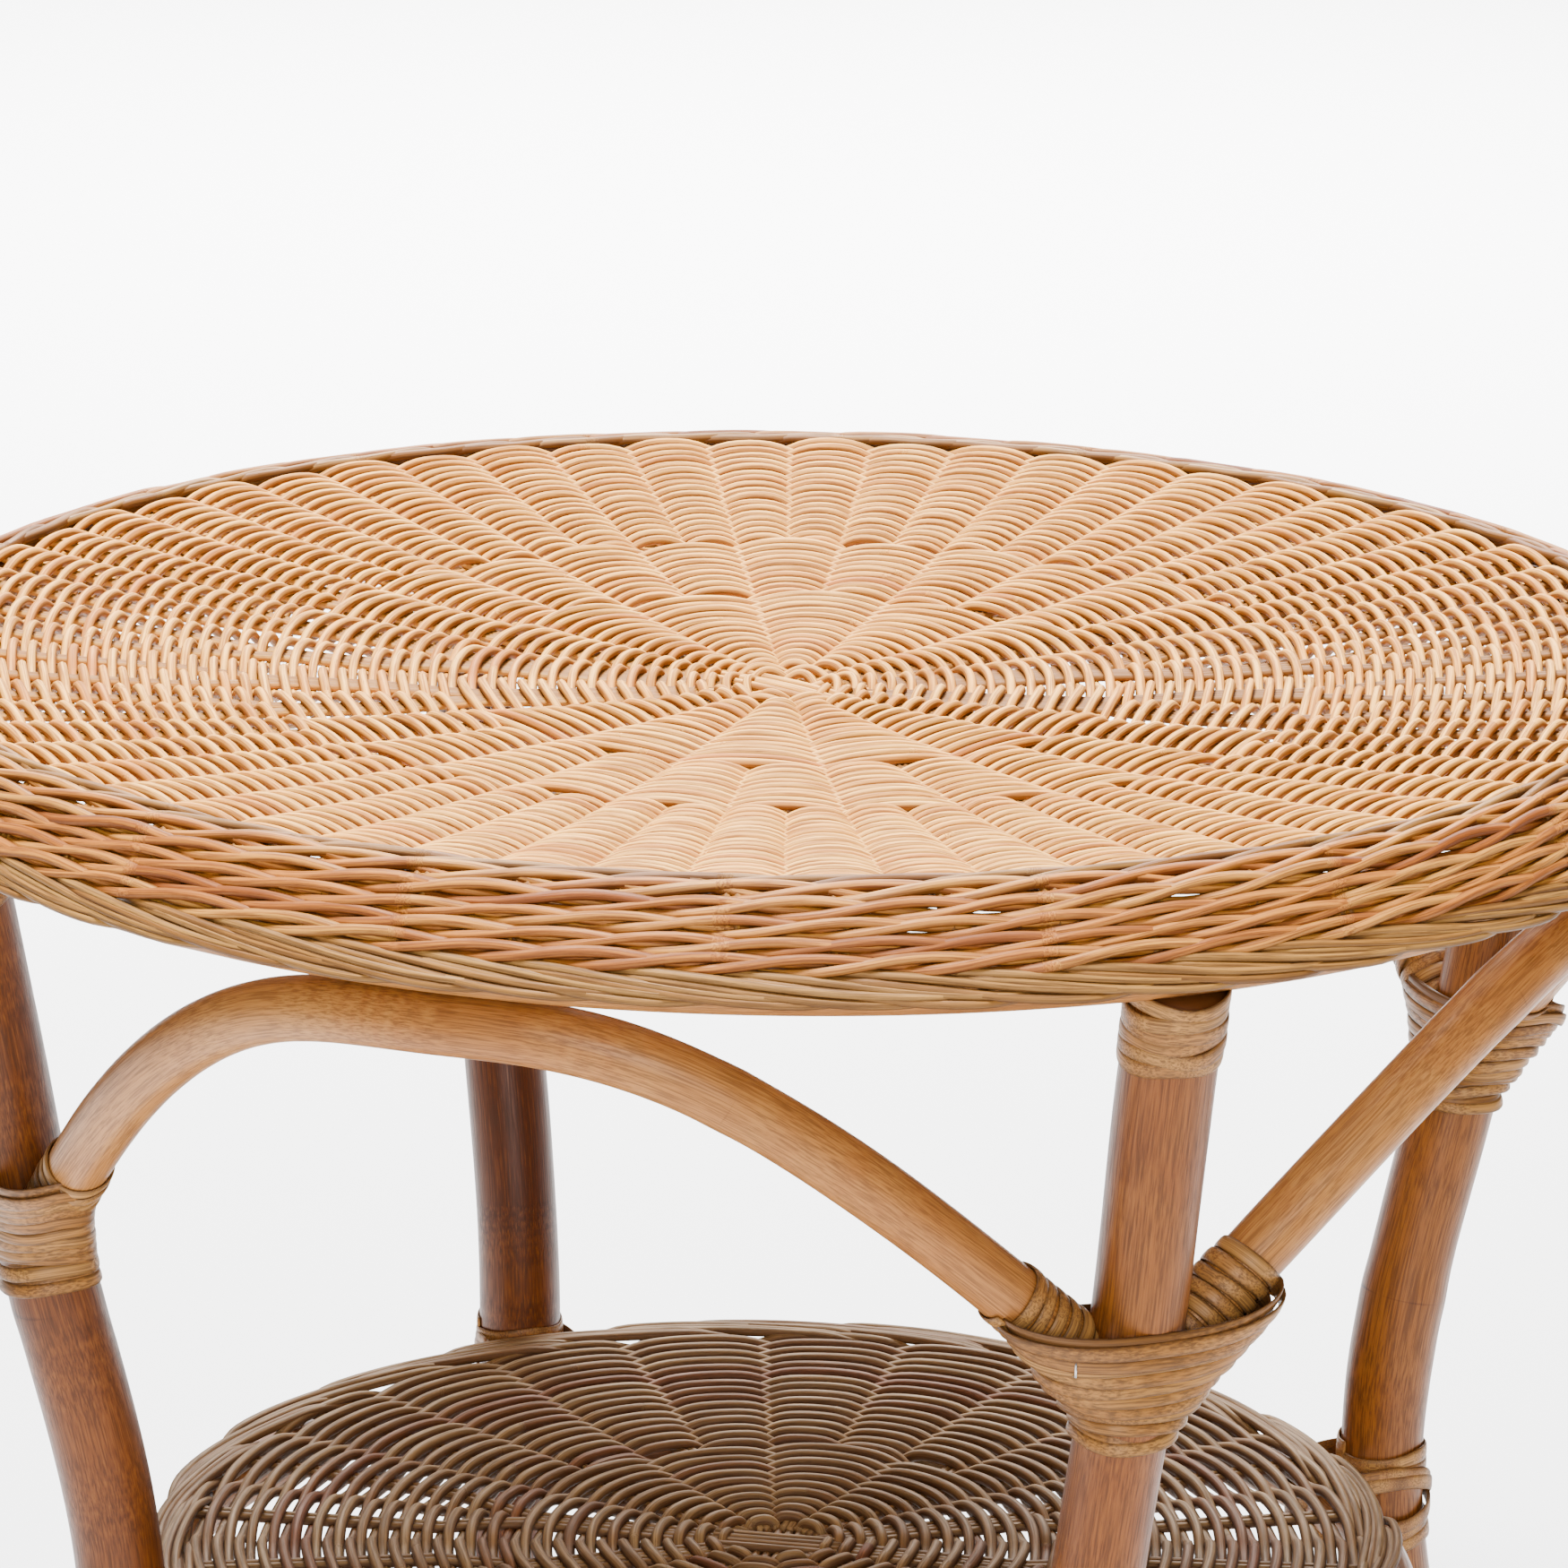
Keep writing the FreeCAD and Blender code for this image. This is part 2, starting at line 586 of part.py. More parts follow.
def build_nodes():
    """Every node of the table by name."""
    nodes = {}
    nodes.update(woven_top())
    nodes.update(woven_shelf())
    nodes["top_hub_sticks"] = crossing_sticks(
        hub_radius, below_shoulder(dish_drop(0, 0) + fit_gap), 0.0)
    nodes["shelf_hub_sticks"] = crossing_sticks(
        shelf_hub_radius, shelf_height - fit_gap, shelf_hub_turn)

    middles = {(name, leg_order[(place + 1) % len(leg_order)]): leg_angles[name] + quarter_turn / 2
               for (place, name) in enumerate(leg_order)}
    screws = {name: top_screw(angle, nail_gap) for (name, angle) in leg_angles.items()}
    shelf_screws = {name: shelf_screw(angle, nail_gap) for (name, angle) in leg_angles.items()}
    all_end_nails = [end_nail(middle, side, nail_gap)
                     for middle in middles.values() for side in (-1, 1)]
    all_crown_nails = [crown_nail(middle, nail_gap) for middle in middles.values()]
    staples = [staple(angle, nail_gap) for angle in leg_angles.values()]

    hoop_cutter = full_hoop(hoop_radius, hoop_pole, hoop_drop, fit_gap)
    shelf_cutter = full_hoop(shelf_hoop_radius, shelf_hoop_pole, shelf_hoop_drop, fit_gap)
    end_nail_holes = group(all_end_nails)
    fat_legs = {name: leg_pole_at(angle, fit_gap) for (name, angle) in leg_angles.items()}

    top_hoop = scarfed_hoop(hoop_radius, hoop_pole, hoop_drop)
    top_scarf = scarf_nails(hoop_radius, hoop_pole, hoop_drop, nail_gap)
    nodes["top_hoop"] = top_hoop.cut(group(screws.values())).cut(
        group(all_crown_nails)).cut(top_scarf)
    shelf_hoop = scarfed_hoop(shelf_hoop_radius, shelf_hoop_pole, shelf_hoop_drop)
    shelf_scarf = scarf_nails(shelf_hoop_radius, shelf_hoop_pole, shelf_hoop_drop, nail_gap)
    nodes["shelf_hoop"] = shelf_hoop.cut(group(shelf_screws.values())).cut(shelf_scarf)

    for (name, angle) in leg_angles.items():
        leg = leg_pole_at(angle).cut(hoop_cutter)
        leg = leg.cut(screws[name]).cut(shelf_screws[name]).cut(end_nail_holes)
        nodes["leg_" + name] = leg

    fat_arches = []
    for ((first, second), middle) in middles.items():
        arch = arch_pole_between(middle, -1.0, 1.0)
        arch = arch.cut(fat_legs[first]).cut(fat_legs[second])
        nodes["arch_" + first + "_" + second] = arch.cut(end_nail_holes).cut(
            group(all_crown_nails))
        fat_arches.append(arch_pole_between(middle, -1.0, 1.0, fit_gap))
        for (side, name) in ((-1, first), (1, second)):
            ends = sorted((side * arch_wrap_start, side * (arch_wrap_start - arch_wrap_length)))
            sleeve = arch_pole_between(middle, ends[0], ends[1], fit_gap + peel_thickness)
            wrap = sleeve.cut(fat_arches[-1])
            nodes["arch_wrap_" + first + "_" + second + "_at_" + name] = wrap

    for (name, angle) in leg_angles.items():
        collar = collar_body(angle).cut(fat_legs[name]).cut(group(fat_arches))
        nodes["collar_" + name] = collar.cut(end_nail_holes).cut(group(staples))
        high = below_shoulder(hoop_drop + hoop_pole / 2 + top_binding_drop)
        binding = leg_sleeve(angle, high - top_binding_height, high).cut(fat_legs[name])
        nodes["top_binding_" + name] = binding
        tie = shelf_binding_body(angle).cut(fat_legs[name]).cut(shelf_cutter)
        nodes["shelf_binding_" + name] = tie

    nodes["leg_top_screws"] = group(top_screw(angle) for angle in leg_angles.values())
    nodes["shelf_hoop_screws"] = group(shelf_screw(angle) for angle in leg_angles.values())
    nodes["arch_end_nails"] = group(end_nail(middle, side)
                                    for middle in middles.values() for side in (-1, 1))
    nodes["arch_crown_nails"] = group(crown_nail(middle) for middle in middles.values())
    nodes["top_hoop_scarf_nails"] = scarf_nails(hoop_radius, hoop_pole, hoop_drop)
    nodes["shelf_hoop_scarf_nails"] = scarf_nails(shelf_hoop_radius, shelf_hoop_pole,
                                                  shelf_hoop_drop)
    nodes["binding_staples"] = group(staple(angle) for angle in leg_angles.values())
    return nodes


os.makedirs("parts", exist_ok=True)
for (node_name, node_shape) in build_nodes().items():
    node_shape.exportStep("parts/" + node_name + ".step")
    print(node_name, len(node_shape.Solids), round(node_shape.Volume), node_shape.isValid())
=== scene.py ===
import logging
import math
from dataclasses import dataclass, field
from enum import Enum

import bpy
import numpy as np
from mathutils import Matrix, Vector


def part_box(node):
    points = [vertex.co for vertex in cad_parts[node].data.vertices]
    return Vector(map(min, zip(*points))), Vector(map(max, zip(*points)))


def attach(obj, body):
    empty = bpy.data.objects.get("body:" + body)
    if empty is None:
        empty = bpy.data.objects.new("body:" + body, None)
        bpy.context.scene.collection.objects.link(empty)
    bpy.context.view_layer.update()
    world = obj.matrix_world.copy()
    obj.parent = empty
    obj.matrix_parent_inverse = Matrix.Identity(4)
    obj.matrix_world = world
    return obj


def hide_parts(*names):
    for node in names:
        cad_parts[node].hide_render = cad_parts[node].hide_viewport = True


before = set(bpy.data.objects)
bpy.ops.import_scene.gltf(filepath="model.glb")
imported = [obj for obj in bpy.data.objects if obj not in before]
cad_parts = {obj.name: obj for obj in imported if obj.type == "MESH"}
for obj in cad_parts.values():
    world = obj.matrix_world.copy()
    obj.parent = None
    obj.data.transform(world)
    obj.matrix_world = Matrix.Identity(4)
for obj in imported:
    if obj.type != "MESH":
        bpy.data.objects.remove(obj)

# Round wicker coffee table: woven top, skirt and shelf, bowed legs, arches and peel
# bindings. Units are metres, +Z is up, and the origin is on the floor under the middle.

LOG = logging.getLogger("wicker_table")
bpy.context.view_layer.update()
MM = 0.001
TAU = 2 * math.pi
UP = np.array([0.0, 0.0, 1.0])
LEVEL = np.array([1.0, 1.0, 0.0])
LEG_ANGLES = {"front": -45.0, "right": 45.0, "back": 135.0, "left": 225.0}
LEG_ORDER = ("front", "right", "back", "left")
QUARTER = 45.0


# ---------------------------------------------------------------- numeric helpers

def unit(vectors: np.ndarray) -> np.ndarray:
    """Vectors divided by their own lengths."""
    return vectors / np.linalg.norm(vectors, axis=-1, keepdims=True)


def polar(radius: np.ndarray, angle: np.ndarray, height: np.ndarray) -> np.ndarray:
    """Points at a radius, an angle in radians and a height."""
    radius, angle, height = np.broadcast_arrays(radius, angle, height)
    return np.stack([radius * np.cos(angle), radius * np.sin(angle), height], axis=-1)


def cubic_spline(knots: np.ndarray, values: np.ndarray, places: np.ndarray) -> np.ndarray:
    """Natural cubic spline through (knot, value) pairs.

    The second slopes solve the usual three-band system with zero at both ends, and
    each span is the cubic that has its two values and two second slopes.

    Args:
        knots: Rising knot places.
        values: Value at each knot, one column per coordinate.
        places: Where the spline is wanted.

    Returns:
        Values at the places.
    """
    values = np.asarray(values, float)
    step = np.diff(knots)
    count = len(knots)
    system = np.eye(count)
    right = np.zeros((count,) + values.shape[1:])
    inner = np.arange(1, count - 1)
    system[inner, inner - 1] = step[:-1]
    system[inner, inner] = 2 * (step[:-1] + step[1:])
    system[inner, inner + 1] = step[1:]
    slopes = np.diff(values, axis=0) / step.reshape((-1,) + (1,) * (values.ndim - 1))
    right[1:-1] = 6 * np.diff(slopes, axis=0)
    bend = np.linalg.solve(system, right)
    span = np.clip(np.searchsorted(knots, places) - 1, 0, count - 2)
    shape = (-1,) + (1,) * (values.ndim - 1)
    width = step[span].reshape(shape)
    after = (places - knots[span]).reshape(shape) / width
    before = 1 - after
    cubic = (before ** 3 - before) * bend[span] + (after ** 3 - after) * bend[span + 1]
    return before * values[span] + after * values[span + 1] + cubic * width ** 2 / 6


def smooth_noise(rng: np.random.Generator, shape: tuple, places: np.ndarray,
                 waves: int = 5) -> np.ndarray:
    """Sum of a few sines with random phases over angle, about -1 to 1.

    Args:
        rng: Seeded source.
        shape: Leading shape, one independent curve for each entry.
        places: Angles in radians, shared by all curves.
        waves: Number of whole-number frequencies.

    Returns:
        Array of shape + (places,).
    """
    phase = rng.uniform(0, TAU, shape + (waves, 1))
    weight = rng.normal(0, 1, shape + (waves, 1))
    order = np.arange(1, waves + 1).reshape((waves, 1))
    return (weight * np.sin(order * places + phase)).sum(axis=-2) / math.sqrt(waves)


def round_profile(diameter: float, sides: int) -> np.ndarray:
    """Circle as (across, outward) pairs, turning from across to outward."""
    turn = np.arange(sides) * TAU / sides
    return np.stack([np.cos(turn), np.sin(turn)], axis=-1) * diameter / 2


def strip_profile(width: float, thickness: float) -> np.ndarray:
    """Flat strip with a crowned face and rounded edges, as (across, outward) pairs."""
    half = width / 2
    rows = ((half, 0.25), (0.86 * half, 0.72), (0.45 * half, 0.97), (0.0, 1.0),
            (-0.45 * half, 0.97), (-0.86 * half, 0.72), (-half, 0.25), (-0.9 * half, 0.0),
            (0.9 * half, 0.0))
    return np.array([(across, outward * thickness) for (across, outward) in rows])


def squared_off(wave: np.ndarray, power: float) -> np.ndarray:
    """Sign of a wave times its size to a power below one, which squares off an oval."""
    return np.sign(wave) * np.abs(wave) ** power


def leg_ways(name: str) -> tuple:
    """Angle of a leg in radians, and its outward and sideways directions."""
    angle = math.radians(LEG_ANGLES[name])
    return angle, polar(1.0, angle, 0.0), polar(1.0, angle + math.pi / 2, 0.0)


def next_leg(number: int) -> str:
    """Name of the leg after the one with a number."""
    return LEG_ORDER[(number + 1) % len(LEG_ORDER)]


def fan_sticks(stops: np.ndarray, counts: tuple, angle: np.ndarray, side: np.ndarray) -> tuple:
    """Plan paths of sticks whose angle and sideways place are given at a few radii.

    A point is the outward direction times the radius plus the sideways direction times
    the sideways place, both straight between the stops.

    Args:
        stops: Radii where the values are given.
        counts: Stations in each stretch.
        angle: Angles at the stops, a row for each stick.
        side: Sideways places at the stops, a row for each stick.

    Returns:
        Radii, angles and sideways places of the stations, and the flat paths.
    """
    fine = np.concatenate([np.linspace(stops[i], stops[i + 1], count, endpoint=False)
                           for (i, count) in enumerate(counts)] + [stops[-1:]])
    places = np.array([np.interp(fine, stops, row) for row in angle])
    sides = np.array([np.interp(fine, stops, row) for row in side])
    plan = (polar(1.0, places, 0.0) * fine[None, :, None]
            + polar(1.0, places + math.pi / 2, 0.0) * sides[..., None])
    return fine, places, sides, plan


# ---------------------------------------------------------------- mesh building

@dataclass
class Surface:
    """Arrays of one piece while it is worked out: points, faces, UV, strand tint and painted
    shade.
    """

    points: list = field(default_factory=list)
    quads: list = field(default_factory=list)
    quad_uv: list = field(default_factory=list)
    fans: list = field(default_factory=list)
    fan_uv: list = field(default_factory=list)
    tints: list = field(default_factory=list)
    marks: list = field(default_factory=list)
    crevice_shades: list = field(default_factory=list)
    count: int = 0

    def sweep(self, paths: np.ndarray, outward: np.ndarray, profile: np.ndarray,
              closed: bool = False, scale: np.ndarray = None, tint: np.ndarray = None,
              mark: np.ndarray = None, shift: np.ndarray = None) -> None:
        """Carry a profile along a batch of paths.

        At each station the tangent comes from the neighbouring points, the outward
        direction is made square to it, and their cross product is the across
        direction. A point is path + across * profile[0] + outward * profile[1].

        Args:
            paths: (strands, stations, 3).
            outward: Outward directions, broadcast to the paths.
            profile: (sides, 2) pairs of across and outward.
            closed: Whether each path joins its own start.
            scale: Size of the profile per station, or None.
            tint: Strand colour value from 0 to 1, per strand or per station.
            mark: Second shader value per station, such as nearness to a node ring.
            shift: Start of the length coordinate per strand.

        Returns:
            None.
        """
        (strands, stations, _) = paths.shape
        sides = len(profile)
        if closed:
            ahead = np.roll(paths, -1, axis=1)
            behind = np.roll(paths, 1, axis=1)
            tangent = unit(ahead - behind)
        else:
            tangent = unit(np.gradient(paths, axis=1))
        outward = np.broadcast_to(outward, paths.shape)
        outward = unit(outward - (outward * tangent).sum(-1, keepdims=True) * tangent)
        across = np.cross(tangent, outward)
        size = np.ones((strands, stations)) if scale is None else np.broadcast_to(
            scale, (strands, stations))
        ring = (across[:, :, None, :] * profile[None, None, :, 0, None]
                + outward[:, :, None, :] * profile[None, None, :, 1, None])
        solid = paths[:, :, None, :] + ring * size[:, :, None, None]

        steps = np.linalg.norm(np.diff(paths, axis=1, append=paths[:, :1]), axis=-1)
        length = np.concatenate([np.zeros((strands, 1)), np.cumsum(steps, axis=1)], axis=1)
        if shift is not None:
            length = length + np.reshape(shift, (strands, 1))
        edge = np.linalg.norm(np.diff(profile, axis=0, append=profile[:1]), axis=-1)
        around = np.concatenate([[0.0], np.cumsum(edge)])

        spans = stations if closed else stations - 1
        i = np.arange(spans)[:, None]
        j = np.arange(sides)[None, :]
        following = (i + 1) % stations
        corner = np.stack([i * sides + j, following * sides + j,
                           following * sides + (j + 1) % sides, i * sides + (j + 1) % sides],
                          axis=-1)
        base = self.count + np.arange(strands) * stations * sides
        quads = corner[None] + base[:, None, None, None]
        u_here = np.broadcast_to(length[:, :spans, None], (strands, spans, sides))
        u_next = np.broadcast_to(length[:, 1:spans + 1, None], (strands, spans, sides))
        v_here = np.broadcast_to(around[None, None, :-1], u_here.shape)
        v_next = np.broadcast_to(around[None, None, 1:], u_here.shape)
        uv = np.stack([np.stack([u_here, v_here], -1), np.stack([u_next, v_here], -1),
                       np.stack([u_next, v_next], -1), np.stack([u_here, v_next], -1)], axis=3)

        self.points.append(solid.reshape(-1, 3))
        self.quads.append(quads.reshape(-1, 4))
        self.quad_uv.append(uv.reshape(-1, 2))
        self._values(self.tints, 0.5 if tint is None else tint, strands, stations, sides)
        self._values(self.marks, 0.0 if mark is None else mark, strands, stations, sides)
        # Painted shade: one value per profile point, largest at the strand's sides and underside
        # where strands touch; the material darkens the colour by it.
        side = (np.abs(profile[:, 0]) / np.abs(profile[:, 0]).max()) ** 2
        lower = np.clip(-profile[:, 1] / np.abs(profile[:, 1]).max(), 0, 1)
        self.crevice_shades.append(np.tile(np.maximum(side, lower), strands * stations))
        self.count += strands * stations * sides
        if not closed:
            self._caps(paths, base, stations, sides, length)

    def _values(self, store: list, value: np.ndarray, strands: int, stations: int,
                sides: int) -> None:
        """Spread a value per strand or per station over the points."""
        value = np.asarray(value, float)
        if value.ndim == 1 and len(value) == strands:
            value = value[:, None]
        spread = np.broadcast_to(value, (strands, stations))
        store.append(np.repeat(spread.reshape(-1), sides))

    def _caps(self, paths: np.ndarray, base: np.ndarray, stations: int, sides: int,
              length: np.ndarray) -> None:
        """Close both ends of open strands with fans round their middle points."""
        strands = len(paths)
        centres = np.concatenate([paths[:, 0], paths[:, -1]])
        start_centre = self.count + np.arange(strands)
        end_centre = start_centre + strands
        j = np.arange(sides)
        after = (j + 1) % sides
        first = base[:, None]
        last = base[:, None] + (stations - 1) * sides
        start = np.stack([np.broadcast_to(start_centre[:, None], (strands, sides)),
                          first + j, first + after], axis=-1)
        end = np.stack([np.broadcast_to(end_centre[:, None], (strands, sides)),
                        last + after, last + j], axis=-1)
        self.points.append(centres)
        self.fans.append(np.concatenate([start, end]).reshape(-1, 3))
        uv = np.zeros((2 * strands * sides, 3, 2))
        uv[:, :, 0] = np.repeat(np.concatenate([length[:, 0], length[:, -1]]), sides)[:, None]
        self.fan_uv.append(uv.reshape(-1, 2))
        for store in (self.tints, self.marks):
            values = store[-1].reshape(strands, stations, sides)
            store.append(np.concatenate([values[:, 0, 0], values[:, -1, 0]]))
        self.crevice_shades.append(np.zeros(2 * strands))
        self.count += 2 * strands

    def build(self, name: str, material: bpy.types.Material) -> bpy.types.Object:
        """Put the arrays into a mesh object.

        Args:
            name: The piece's name.
            material: Its finish.

        Returns:
            The linked object, at the origin.
        """
        points = np.concatenate(self.points).astype(np.float32)
        quads = np.concatenate(self.quads).astype(np.int32)
        quad_uv = np.concatenate(self.quad_uv)
        fans = np.concatenate(self.fans) if self.fans else np.zeros((0, 3))
        fans = fans.astype(np.int32)
        fan_uv = np.concatenate(self.fan_uv) if self.fans else np.zeros((0, 2))
        mesh = bpy.data.meshes.new(name)
        mesh.vertices.add(len(points))
        mesh.vertices.foreach_set("co", points.ravel())
        corners = np.concatenate([quads.ravel(), fans.ravel()])
        mesh.loops.add(len(corners))
        mesh.loops.foreach_set("vertex_index", corners)
        starts = np.concatenate([np.arange(len(quads)) * 4,
                                 len(quads) * 4 + np.arange(len(fans)) * 3])
        mesh.polygons.add(len(starts))
        mesh.polygons.foreach_set("loop_start", starts.astype(np.int32))
        mesh.update(calc_edges=True)
        layer = mesh.uv_layers.new(name="strand")
        uv = np.concatenate([quad_uv, fan_uv]).astype(np.float32)
        layer.data.foreach_set("uv", uv.ravel())
        for (key, store) in (("tint", self.tints), ("mark", self.marks),
                             ("crevice_shade", self.crevice_shades)):
            attribute = mesh.attributes.new(key, "FLOAT", "POINT")
            attribute.data.foreach_set("value", np.concatenate(store).astype(np.float32))
        mesh.polygons.foreach_set("use_smooth", np.ones(len(starts), bool))
        mesh.validate()
        mesh.materials.append(material)
        piece = bpy.data.objects.new(name, mesh)
        bpy.context.scene.collection.objects.link(piece)
        return piece


# ---------------------------------------------------------------- finishes

class Grain(Enum):
    """How the fibres run: noise steps per metre along the strand and across it."""

    CANE = (45.0, 1500.0)
    POLE = (55.0, 1900.0)
    PEEL = (16.0, 1700.0)


@dataclass(frozen=True)
class Finish:
    """A rattan finish: three tints along the strand value, with grain, marks, bump and painted
    shade.
    """

    name: str
    pale: tuple
    middle: tuple
    deep: tuple
    fibre: tuple
    grain: Grain
    roughness: float = 0.55
    fibre_share: float = 0.35
    bump: float = 0.0003
    # Strength of the painted shade at the strands' sides and undersides.
    crevice_shade_strength: float = 0.85

    def build(self) -> bpy.types.Material:
        """Make the node material of this finish.

        The fibre pattern is noise stretched along the strand's length coordinate. The
        tint attribute picks a colour between pale, middle and deep, slow noise drifts
        it, and the mark attribute darkens node rings with a ragged edge. A third
        attribute darkens the strands' sides and undersides, where they meet their
        neighbours, as painted shade.

        Returns:
            The material.
        """
        material = bpy.data.materials.new(self.name)
        material.use_nodes = True
        tree = NodeTree(material)
        uv = tree.add("ShaderNodeUVMap", uv_map="strand")
        (tint, mark, crevice_shade) = (tree.add("ShaderNodeAttribute", attribute_name=key)
                                for key in ("tint", "mark", "crevice_shade"))
        (along, across) = self.grain.value
        offset = tree.combine(tint.outputs["Fac"], tint.outputs["Fac"], 13.0, 37.0)
        fibre_place = tree.scaled(uv.outputs["UV"], (along, across, 1.0), offset)
        fibre = tree.noise(fibre_place, 1.0, 3.0, 0.6)
        fine_place = tree.scaled(uv.outputs["UV"], (along * 3.5, across * 2.2, 1.0), offset)
        fine = tree.noise(fine_place, 1.0, 2.0, 0.5)
        drift_place = tree.scaled(uv.outputs["UV"], (9.0, 60.0, 1.0), offset)
        drift = tree.noise(drift_place, 1.0, 2.0, 0.5)

        ramp = tree.ramp(((0.0, self.pale), (0.5, self.middle), (1.0, self.deep)))
        drifted = tree.math("MULTIPLY_ADD", drift, 0.55, tint.outputs["Fac"])
        centred = tree.math("SUBTRACT", drifted, 0.275)
        tree.link(centred, ramp.inputs["Fac"])
        streak = tree.map_range(fibre, 0.45, 0.60, 0.0, self.fibre_share)
        with_fibre = tree.mix(streak, ramp.outputs["Color"], self.fibre)
        spots = tree.map_range(fine, 0.66, 0.74, 0.0, 0.75 * self.fibre_share + 0.1)
        with_spots = tree.mix(spots, with_fibre, tuple(0.45 * value for value in self.fibre))
        light = tree.map_range(fibre, 0.30, 0.45, 0.30, 0.0)
        with_light = tree.mix(light, with_spots, tuple(min(1.0, 1.25 * v) for v in self.pale))
        ragged = tree.math("MULTIPLY_ADD", drift, 0.9, mark.outputs["Fac"])
        ring = tree.map_range(ragged, 0.95, 1.15, 0.0, 0.8)
        ringed = tree.mix(ring, with_light, tuple(0.22 * value for value in self.deep))
        # Painted shade: darken the sides and undersides of the strands, where they meet their
        # neighbours.
        crevice_shade_strength = tree.math("MULTIPLY", crevice_shade.outputs["Fac"], self.crevice_shade_strength)
        color = tree.mix(crevice_shade_strength, ringed, tuple(0.3 * value for value in self.deep))

        shader = tree.shader
        tree.link(color, shader.inputs["Base Color"])
        gloss = tree.map_range(fibre, 0.3, 0.7, self.roughness - 0.06, self.roughness + 0.12)
        tree.link(gloss, shader.inputs["Roughness"])
        shader.inputs["Specular IOR Level"].default_value = 0.22
        height = tree.math("MULTIPLY_ADD", fine, 0.4, fibre)
        bump = tree.add("ShaderNodeBump")
        bump.inputs["Strength"].default_value = 0.6
        bump.inputs["Distance"].default_value = self.bump
        tree.link(height, bump.inputs["Height"])
        tree.link(bump.outputs["Normal"], shader.inputs["Normal"])
        return material


class NodeTree:
    """Small wrapper that adds and links shader nodes."""

    def __init__(self, material: bpy.types.Material) -> None:
        """Start from a material's own tree and its main shader."""
        self.tree = material.node_tree
        self.shader = self.tree.nodes["Principled BSDF"]

    def add(self, kind: str, **settings) -> bpy.types.Node:
        """Add one node and set its properties."""
        node = self.tree.nodes.new(kind)
        for (key, value) in settings.items():
            setattr(node, key, value)
        return node

    def link(self, output: bpy.types.NodeSocket, target: bpy.types.NodeSocket) -> None:
        """Join two sockets."""
        self.tree.links.new(output, target)

    def feed(self, source: object, target: bpy.types.NodeSocket) -> None:
        """Link a socket, or set a plain value, on an input."""
        if isinstance(source, bpy.types.NodeSocket):
            self.link(source, target)
        elif isinstance(source, tuple):
            target.default_value = source if len(source) == len(target.default_value) else (
                tuple(source) + (1.0,))
        else:
            target.default_value = source

    def math(self, operation: str, first: object, second: object,
             third: object = None) -> bpy.types.NodeSocket:
        """A math node on up to three inputs."""
        node = self.add("ShaderNodeMath", operation=operation)
        for (index, source) in enumerate((first, second, third)):
            if source is not None:
                self.feed(source, node.inputs[index])
        return node.outputs[0]

    def combine(self, first: object, second: object, gain_x: float,
                gain_z: float) -> bpy.types.NodeSocket:
        """Vector of two scaled values, on x and z."""
        node = self.add("ShaderNodeCombineXYZ")
        self.link(self.math("MULTIPLY", first, gain_x), node.inputs["X"])
        self.link(self.math("MULTIPLY", second, gain_z), node.inputs["Z"])
        return node.outputs["Vector"]

    def scaled(self, vector: bpy.types.NodeSocket, scale: tuple,
               offset: bpy.types.NodeSocket) -> bpy.types.NodeSocket:
        """Vector times a scale plus an offset."""
        node = self.add("ShaderNodeVectorMath", operation="MULTIPLY_ADD")
        self.link(vector, node.inputs[0])
        node.inputs[1].default_value = scale
        self.link(offset, node.inputs[2])
        return node.outputs["Vector"]

    def noise(self, place: bpy.types.NodeSocket, scale: float, detail: float,
              rough: float) -> bpy.types.NodeSocket:
        """Noise value at a place."""
        node = self.add("ShaderNodeTexNoise")
        self.link(place, node.inputs["Vector"])
        node.inputs["Scale"].default_value = scale
        node.inputs["Detail"].default_value = detail
        node.inputs["Roughness"].default_value = rough
        return node.outputs["Fac"]

    def ramp(self, stops: tuple) -> bpy.types.Node:
        """Colour ramp with the given stops."""
        node = self.add("ShaderNodeValToRGB")
        elements = node.color_ramp.elements
        while len(elements) < len(stops):
            elements.new(0.5)
        for (element, (place, color)) in zip(elements, stops):
            element.position = place
            element.color = tuple(color) + (1.0,)
        return node

    def map_range(self, value: bpy.types.NodeSocket, low: float, high: float,
                  new_low: float, new_high: float) -> bpy.types.NodeSocket:
        """Value moved from one range to another and held inside it."""
        node = self.add("ShaderNodeMapRange")
        self.link(value, node.inputs["Value"])
        for (key, number) in (("From Min", low), ("From Max", high),
                              ("To Min", new_low), ("To Max", new_high)):
            node.inputs[key].default_value = number
        return node.outputs["Result"]

    def mix(self, share: object, first: object, second: object) -> bpy.types.NodeSocket:
        """Colour mix of two sources."""
        node = self.add("ShaderNodeMix", data_type="RGBA")
        self.feed(share, node.inputs[0])
        self.feed(first, node.inputs[6])
        self.feed(second, node.inputs[7])
        return node.outputs[2]


